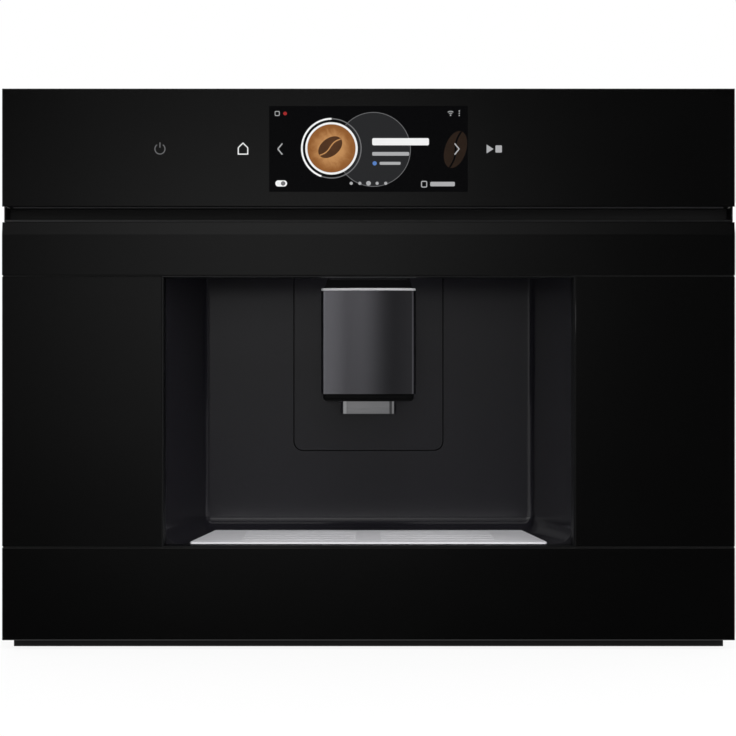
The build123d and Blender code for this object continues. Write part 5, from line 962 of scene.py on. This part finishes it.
# %% [markdown]
# The outlet's roof slopes back under the top of the niche. A fine raised line runs across it, just where
# it disappears behind the door.

# %% Line across the outlet's roof
ROOF_Y, ROOF_Z, ROOF_HALF = -139.3, 303.2, 32.5
roof_run = (-ROOF_HALF, ROOF_HALF, ROOF_Y - 0.8, ROOF_Z - 0.8, ROOF_Y + 1.2, ROOF_Z + 0.8, 0.4)
rails("outlet_roof_line", [roof_run], GRAPHITE, "outlet")
print("roof line at z =", ROOF_Z)

# %% [markdown]
# ## Niche corners
# The niche's tub is rounded where walls meet floor, but the window before it is square. Small lips on the
# tub's front edge close the two lower corners, so no light gets behind the tub. Their grey is a darker, less
# glossy copy of the niche's grey: painted shade for the dark lower corners.

# %% Corner lips of the niche
LINER_LOW, LINER_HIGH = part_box("niche_liner")
CORNER_R, LIP_REACH = 12.0, 1.6
mouth_x, floor_z = LINER_HIGH.x / MM - 2.2, LINER_LOW.z / MM + 2.0
# Painted shade: the lips' grey is a darker, less glossy copy of the niche grey, standing for the shade in the
# lower corners.
LIP_PAINTED_SHADE = moulded_finish(
    "niche lip in painted shade", (0.0085, 0.0082, 0.0100), (0.012, 0.012, 0.014), 0.3, 0.34, 2600.0, 2e-6, 0.0, 0.3)


def corner_lip(side):
    """Outline of one lip: the square corner less the tub's rounded one."""
    centre_x, centre_z = mouth_x - CORNER_R, floor_z + CORNER_R
    low, out = floor_z - LIP_REACH, mouth_x + LIP_REACH
    outline = circle(centre_x, centre_z, CORNER_R - 0.2, 12, 0, -90)
    outline += [(centre_x, low), (out, low), (out, centre_z)]
    return [(side * x, z) for x, z in outline]


both_lips = [([corner_lip(-1), corner_lip(1)], LIP_PAINTED_SHADE, 0.0)]
add_piece(plates("niche_corner_lips", both_lips, LINER_LOW.y - 0.5 * MM, 0.5), "housing")
print("corner lips at x =", round(mouth_x, 1))

# %% [markdown]
# ## Geometry nodes for what repeats
# Screws, ribs and beads repeat, and seals follow a path, so each is grown by a small node tree instead of
# being placed by hand. Three trees do it all: one sets a screw on every marked point, one lays an even row
# of a piece at every start point, and one sweeps a round cord along a path. Every size is a named input.

# %% Helpers for geometry node trees
OBJECT, MATERIAL, WHOLE = "NodeSocketObject", "NodeSocketMaterial", "NodeSocketInt"


def open_tree(name, inputs):
    """An empty geometry tree with its sockets, and its input and output nodes."""
    tree = bpy.data.node_groups.new(name, "GeometryNodeTree")
    tree.interface.new_socket("Geometry", in_out="INPUT", socket_type="NodeSocketGeometry")
    for label, kind, value in inputs:
        socket = tree.interface.new_socket(label, in_out="INPUT", socket_type=kind)
        if value is not None:
            socket.default_value = value
    tree.interface.new_socket("Geometry", in_out="OUTPUT", socket_type="NodeSocketGeometry")
    return tree, tree.nodes.new("NodeGroupInput").outputs, tree.nodes.new("NodeGroupOutput").inputs


def close_tree(tree, geometry, finish, result):
    """Makes the instances real, gives them their finish and hands them out."""
    real = put(tree, "GeometryNodeRealizeInstances", {0: geometry}).outputs[0]
    named = put(tree, "GeometryNodeSetMaterial", {"Geometry": real, "Material": finish}).outputs[0]
    tree.links.new(named, result["Geometry"])


def grown(name, tree, start, body, slot_name, **settings):
    """Runs a tree on a start mesh and keeps the outcome as a plain piece riding a body."""
    carrier = bpy.data.objects.new(name + " start", start)
    SCENE.collection.objects.link(carrier)
    nodes = carrier.modifiers.new("grow", "NODES")
    nodes.node_group = tree
    for item in tree.interface.items_tree:
        if item.in_out == "INPUT" and item.name in settings:
            nodes[item.identifier] = settings[item.name]
    bpy.context.view_layer.update()
    outcome = bpy.data.meshes.new_from_object(carrier.evaluated_get(bpy.context.evaluated_depsgraph_get()))
    bpy.data.objects.remove(carrier)
    finishes = list(outcome.materials)
    bm = bmesh.new()
    bm.from_mesh(outcome)
    bpy.data.meshes.remove(outcome)
    return add_piece(solid_from(bm, name, finishes), body)


def start_points(places, direction_of=None):
    """A mesh of loose points in mm, each with the direction that its piece faces if there is one."""
    mesh = bpy.data.meshes.new("start points")
    mesh.from_pydata([[c * MM for c in place] for place in places], [], [])
    if direction_of is not None:
        facing = mesh.attributes.new("facing", "FLOAT_VECTOR", "POINT")
        for i, place in enumerate(places):
            facing.data[i].vector = direction_of(place)
    return mesh


# %% [markdown]
# ### Screws
# The heads are low and rounded with a hexagon socket. Each is turned by a random angle, because nobody
# lines up screws by hand. The seed is fixed, so the picture is the same every time.

# %% Screw head
def screw_head(radius, height, steps=24):
    """A rounded head with a hexagon socket, standing on z = 0, as an object that instances copy."""
    def ring(r, z, six=False):
        points = []
        for i in range(steps):
            t = 2 * math.pi * i / steps
            reach = r / math.cos((t + math.pi / 6) % (math.pi / 3) - math.pi / 6) if six else r
            points.append(bm.verts.new((reach * math.cos(t) * MM, reach * math.sin(t) * MM, z * MM)))
        return points

    outside = ((1.0, 0.0), (1.0, 0.35), (0.88, 0.82), (0.62, 1.0))
    socket = ((0.36, 1.0), (0.33, 0.3))
    bm = bmesh.new()
    rings = [ring(share * radius, rise * height) for share, rise in outside]
    rings += [ring(share * radius, rise * height, True) for share, rise in socket]
    join_rings(bm, rings)
    return solid_from(bm, "screw head")


SCREWS, given, result = open_tree("screws on points", [
    ("Head", OBJECT, None), ("Size", NUMBER, 1.0), ("Seed", WHOLE, 3), ("Finish", MATERIAL, None)])
head = put(SCREWS, "GeometryNodeObjectInfo", {"Object": given["Head"]}).outputs["Geometry"]
facing = put(SCREWS, "GeometryNodeInputNamedAttribute", {"Name": "facing"}, data_type="FLOAT_VECTOR")
upright = put(SCREWS, "FunctionNodeAlignRotationToVector", {"Vector": facing.outputs[0]}, axis="Z").outputs[0]
placed = put(SCREWS, "GeometryNodeInstanceOnPoints", {
    "Points": given["Geometry"], "Instance": head, "Rotation": upright, "Scale": given["Size"]}).outputs[0]
up_to_a_side = {"Seed": given["Seed"], 2: 0.0, 3: math.pi / 3}
angle = put(SCREWS, "FunctionNodeRandomValue", up_to_a_side, data_type="FLOAT").outputs[1]
spin = put(SCREWS, "ShaderNodeCombineXYZ", {"Z": angle}).outputs[0]
turned = put(SCREWS, "GeometryNodeRotateInstances", {
    "Instances": placed, "Rotation": spin, "Local Space": True}).outputs[0]
close_tree(SCREWS, turned, given["Finish"], result)
print("screw tree:", len(SCREWS.nodes), "nodes")

# %% [markdown]
# The casing's side panels and top are held by screws along their rims, the front frame by screws between
# the bays, and the door's inner panel by screws round its edge.

# %% Screws of the casing, the frame and the door
SIDE_X, RIM_Y, TOP_Z, DOOR_BACK = 278, (-152, 181), 446, -174.5
big_head, small_head = screw_head(3.8, 1.7), screw_head(2.9, 0.9)
casing = [(side * SIDE_X, y, z) for side in (-1, 1) for z in (30, 160, 290, 420) for y in RIM_Y]
casing += [(x, y, TOP_Z) for x in (-262, -131, 0, 131, 262) for y in RIM_Y]
front = [(side * 175, FRAME_Y, z) for side in (-1, 1) for z in (60, 250, 330)]
front += [(276, FRAME_Y, z) for z in (60, 200, 340)] + [(-286, FRAME_Y, z) for z in (60, 180)]
door_spots = ((-285, 20), (285, 20), (-285, 335), (285, 180), (-285, 200), (-100, 20), (100, 20), (0, 337),
              (-150, 330), (150, 330))
door = [(x, DOOR_BACK, z) for x, z in door_spots]


def out_of_casing(place):
    """Up on the top cover, sideways on the panels."""
    x, y, z = place
    return (0, 0, 1) if z == TOP_Z else (math.copysign(1, x), 0, 0)


for name, places, direction_of, body, head, seed in (
    ("casing_screws", casing, out_of_casing, "housing", big_head, 5),
    ("frame_screws", front, lambda place: (0, -1, 0), "housing", small_head, 8),
    ("door_screws", door, lambda place: (0, 1, 0), "door", small_head, 2),
):
    grown(name, SCREWS, start_points(places, direction_of), body, "steel", Head=head, Finish=STEEL, Seed=seed)
print("screws:", len(casing) + len(front) + len(door))

# %% [markdown]
# ### Rows of ribs and beads
# Pressed beads stiffen the side panels. Level ribs mark the water tank, and short ribs on the brew unit's
# cover and on the tray's front give fingers a hold.

# %% Tree for even rows
ROWS, given, result = open_tree("even rows", [
    ("Piece", OBJECT, None), ("Count", WHOLE, 4), ("Step", ARROW, (0.0, 0.0, 0.02)),
    ("Finish", MATERIAL, None)])
line = put(ROWS, "GeometryNodeMeshLine", {"Count": given["Count"], "Offset": given["Step"]}).outputs[0]
repeated = put(ROWS, "GeometryNodeObjectInfo", {"Object": given["Piece"]}).outputs["Geometry"]
row = put(ROWS, "GeometryNodeInstanceOnPoints", {"Points": line, "Instance": repeated}).outputs[0]
all_rows = put(ROWS, "GeometryNodeInstanceOnPoints", {"Points": given["Geometry"], "Instance": row})
close_tree(ROWS, all_rows.outputs[0], given["Finish"], result)
print("row tree:", len(ROWS.nodes), "nodes")


# %% Ribs and beads
def rib(size_x, size_y, size_z, steps=8):
    """A long pillow with round ends, centred on the origin: its two longest sizes set its outline."""
    sizes = sorted(((size_x, 0), (size_y, 1), (size_z, 2)))
    (thin, thin_axis), (wide, wide_axis), (long, long_axis) = sizes
    bm = bmesh.new()
    rings = []
    for k in range(steps + 1):
        t = -math.pi / 2 + math.pi * (0.06 + 0.88 * k / steps)
        shrink = math.cos(t) ** 0.5
        edge = wide / 2 * (1 - shrink)
        ring = []
        for a, b in soft_bar(-long / 2, -wide / 2, long / 2, wide / 2, wide * 0.49):
            corner = [0.0, 0.0, 0.0]
            corner[long_axis] = (a - math.copysign(min(edge, abs(a)), a)) * MM
            corner[wide_axis] = b * shrink * MM
            corner[thin_axis] = thin / 2 * math.sin(t) * MM
            ring.append(bm.verts.new(corner))
        rings.append(ring)
    join_rings(bm, rings)
    return solid_from(bm, "rib")


rib_faces = 0
for name, starts, shape, count, step, body, slot_name in (
    ("side_beads", [(-SIDE_X, -105, 226), (SIDE_X, -105, 226)], rib(1.6, 9, 330), 5, (0.0, 0.055, 0.0),
     "housing", "zinc_sheet"),
    ("tank_levels", [(195, -170, 50)], rib(12, 0.9, 1.2), 8, (0.0, 0.0, 0.019), "tank", "clear_tank"),
    ("cover_ribs", [(-225.5, FRAME_Y, 62)], rib(34, 0.9, 2.2), 6, (0.0, 0.0, 0.006),
     "housing", "black_satin"),
    ("tray_ribs", [(-50, -170, 45)], rib(2.2, 0.9, 26), 11, (0.010, 0.0, 0.0), "drawer", "black_satin"),
):
    ribs = grown(name, ROWS, start_points(starts), body, slot_name,
                 Piece=shape, Count=count, Step=step, Finish=FINISHES[slot_name])
    rib_faces += len(ribs.data.polygons)
print("rib faces:", rib_faces)

# %% [markdown]
# ### Seals along a path, and painted shade in a gap
# A cord of silicone runs round the window on the door's inner side and closes against the frame. A fine
# black cord lies in the gap round the panel behind the outlet, where that panel sits in the niche's back
# wall:
# it is painted shade, standing for the shadow in that gap.

# %% Tree for cords: the window seal, and the painted shade in the guide panel's gap
CORD, given, result = open_tree(
    "cord along path", [("Radius", NUMBER, 0.001), ("Sides", WHOLE, 10), ("Finish", MATERIAL, None)])
path = put(CORD, "GeometryNodeMeshToCurve", {0: given["Geometry"]}).outputs[0]
profile = put(CORD, "GeometryNodeCurvePrimitiveCircle", {
    "Resolution": given["Sides"], "Radius": given["Radius"]}).outputs[0]
swept = put(CORD, "GeometryNodeCurveToMesh", {
    "Curve": path, "Profile Curve": profile, "Fill Caps": True}).outputs[0]
close_tree(CORD, swept, given["Finish"], result)


def path_mesh(points, y, closed):
    """Edges through points given as x and z in mm, at one depth."""
    count = len(points)
    edges = [(i, (i + 1) % count) for i in range(count if closed else count - 1)]
    mesh = bpy.data.meshes.new("path")
    mesh.from_pydata([(x * MM, y * MM, z * MM) for x, z in points], edges, [])
    return mesh


SEAL_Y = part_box("door_inner_panel")[1].y / MM + 0.55
round_window = soft_bar(-172.5, 77.5, 172.5, 308.5, 9.0)
window_seal = grown("window_seal", CORD, path_mesh(round_window, SEAL_Y, True), "door", "rubber",
                    Radius=0.0009, Finish=RUBBER)

GUIDE_LOW, GUIDE_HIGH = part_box("guide_panel")
GUIDE_RIM, GAP_SHADE_R, GAP_SHADE_BEND, GAP_SHADE_TOP = 6.4, 8.4, 230.0, 340.0
gap_shade_y = LINER_HIGH.y / MM - 1.9
half, low = GUIDE_HIGH.x / MM - GUIDE_RIM, GUIDE_LOW.z / MM + GUIDE_RIM
gap_shade_path = [(-half, GAP_SHADE_TOP), (-half, GAP_SHADE_BEND)]
gap_shade_path += circle(-half + GAP_SHADE_R, low + GAP_SHADE_R, GAP_SHADE_R, 10, 180, 270)
gap_shade_path += [(0.0, low)]
gap_shade_path += circle(half - GAP_SHADE_R, low + GAP_SHADE_R, GAP_SHADE_R, 10, 270, 360)
gap_shade_path += [(half, GAP_SHADE_BEND), (half, GAP_SHADE_TOP)]
# Painted shade: this black cord stands for the shadow in the gap round the guide panel.
gap_shade_cord = grown("guide_seam", CORD, path_mesh(gap_shade_path, gap_shade_y, False), "housing", "rubber",
             Radius=0.0006, Finish=OUTLET_BLACK)
print("seal faces:", len(window_seal.data.polygons) + len(gap_shade_cord.data.polygons))

# %% [markdown]
# The heads and ribs that the trees copied have done their work, so they leave.

# %% Clear the copied shapes away
for shape in [shape for shape in bpy.data.objects if shape.name.startswith(("rib", "screw head"))]:
    bpy.data.objects.remove(shape)
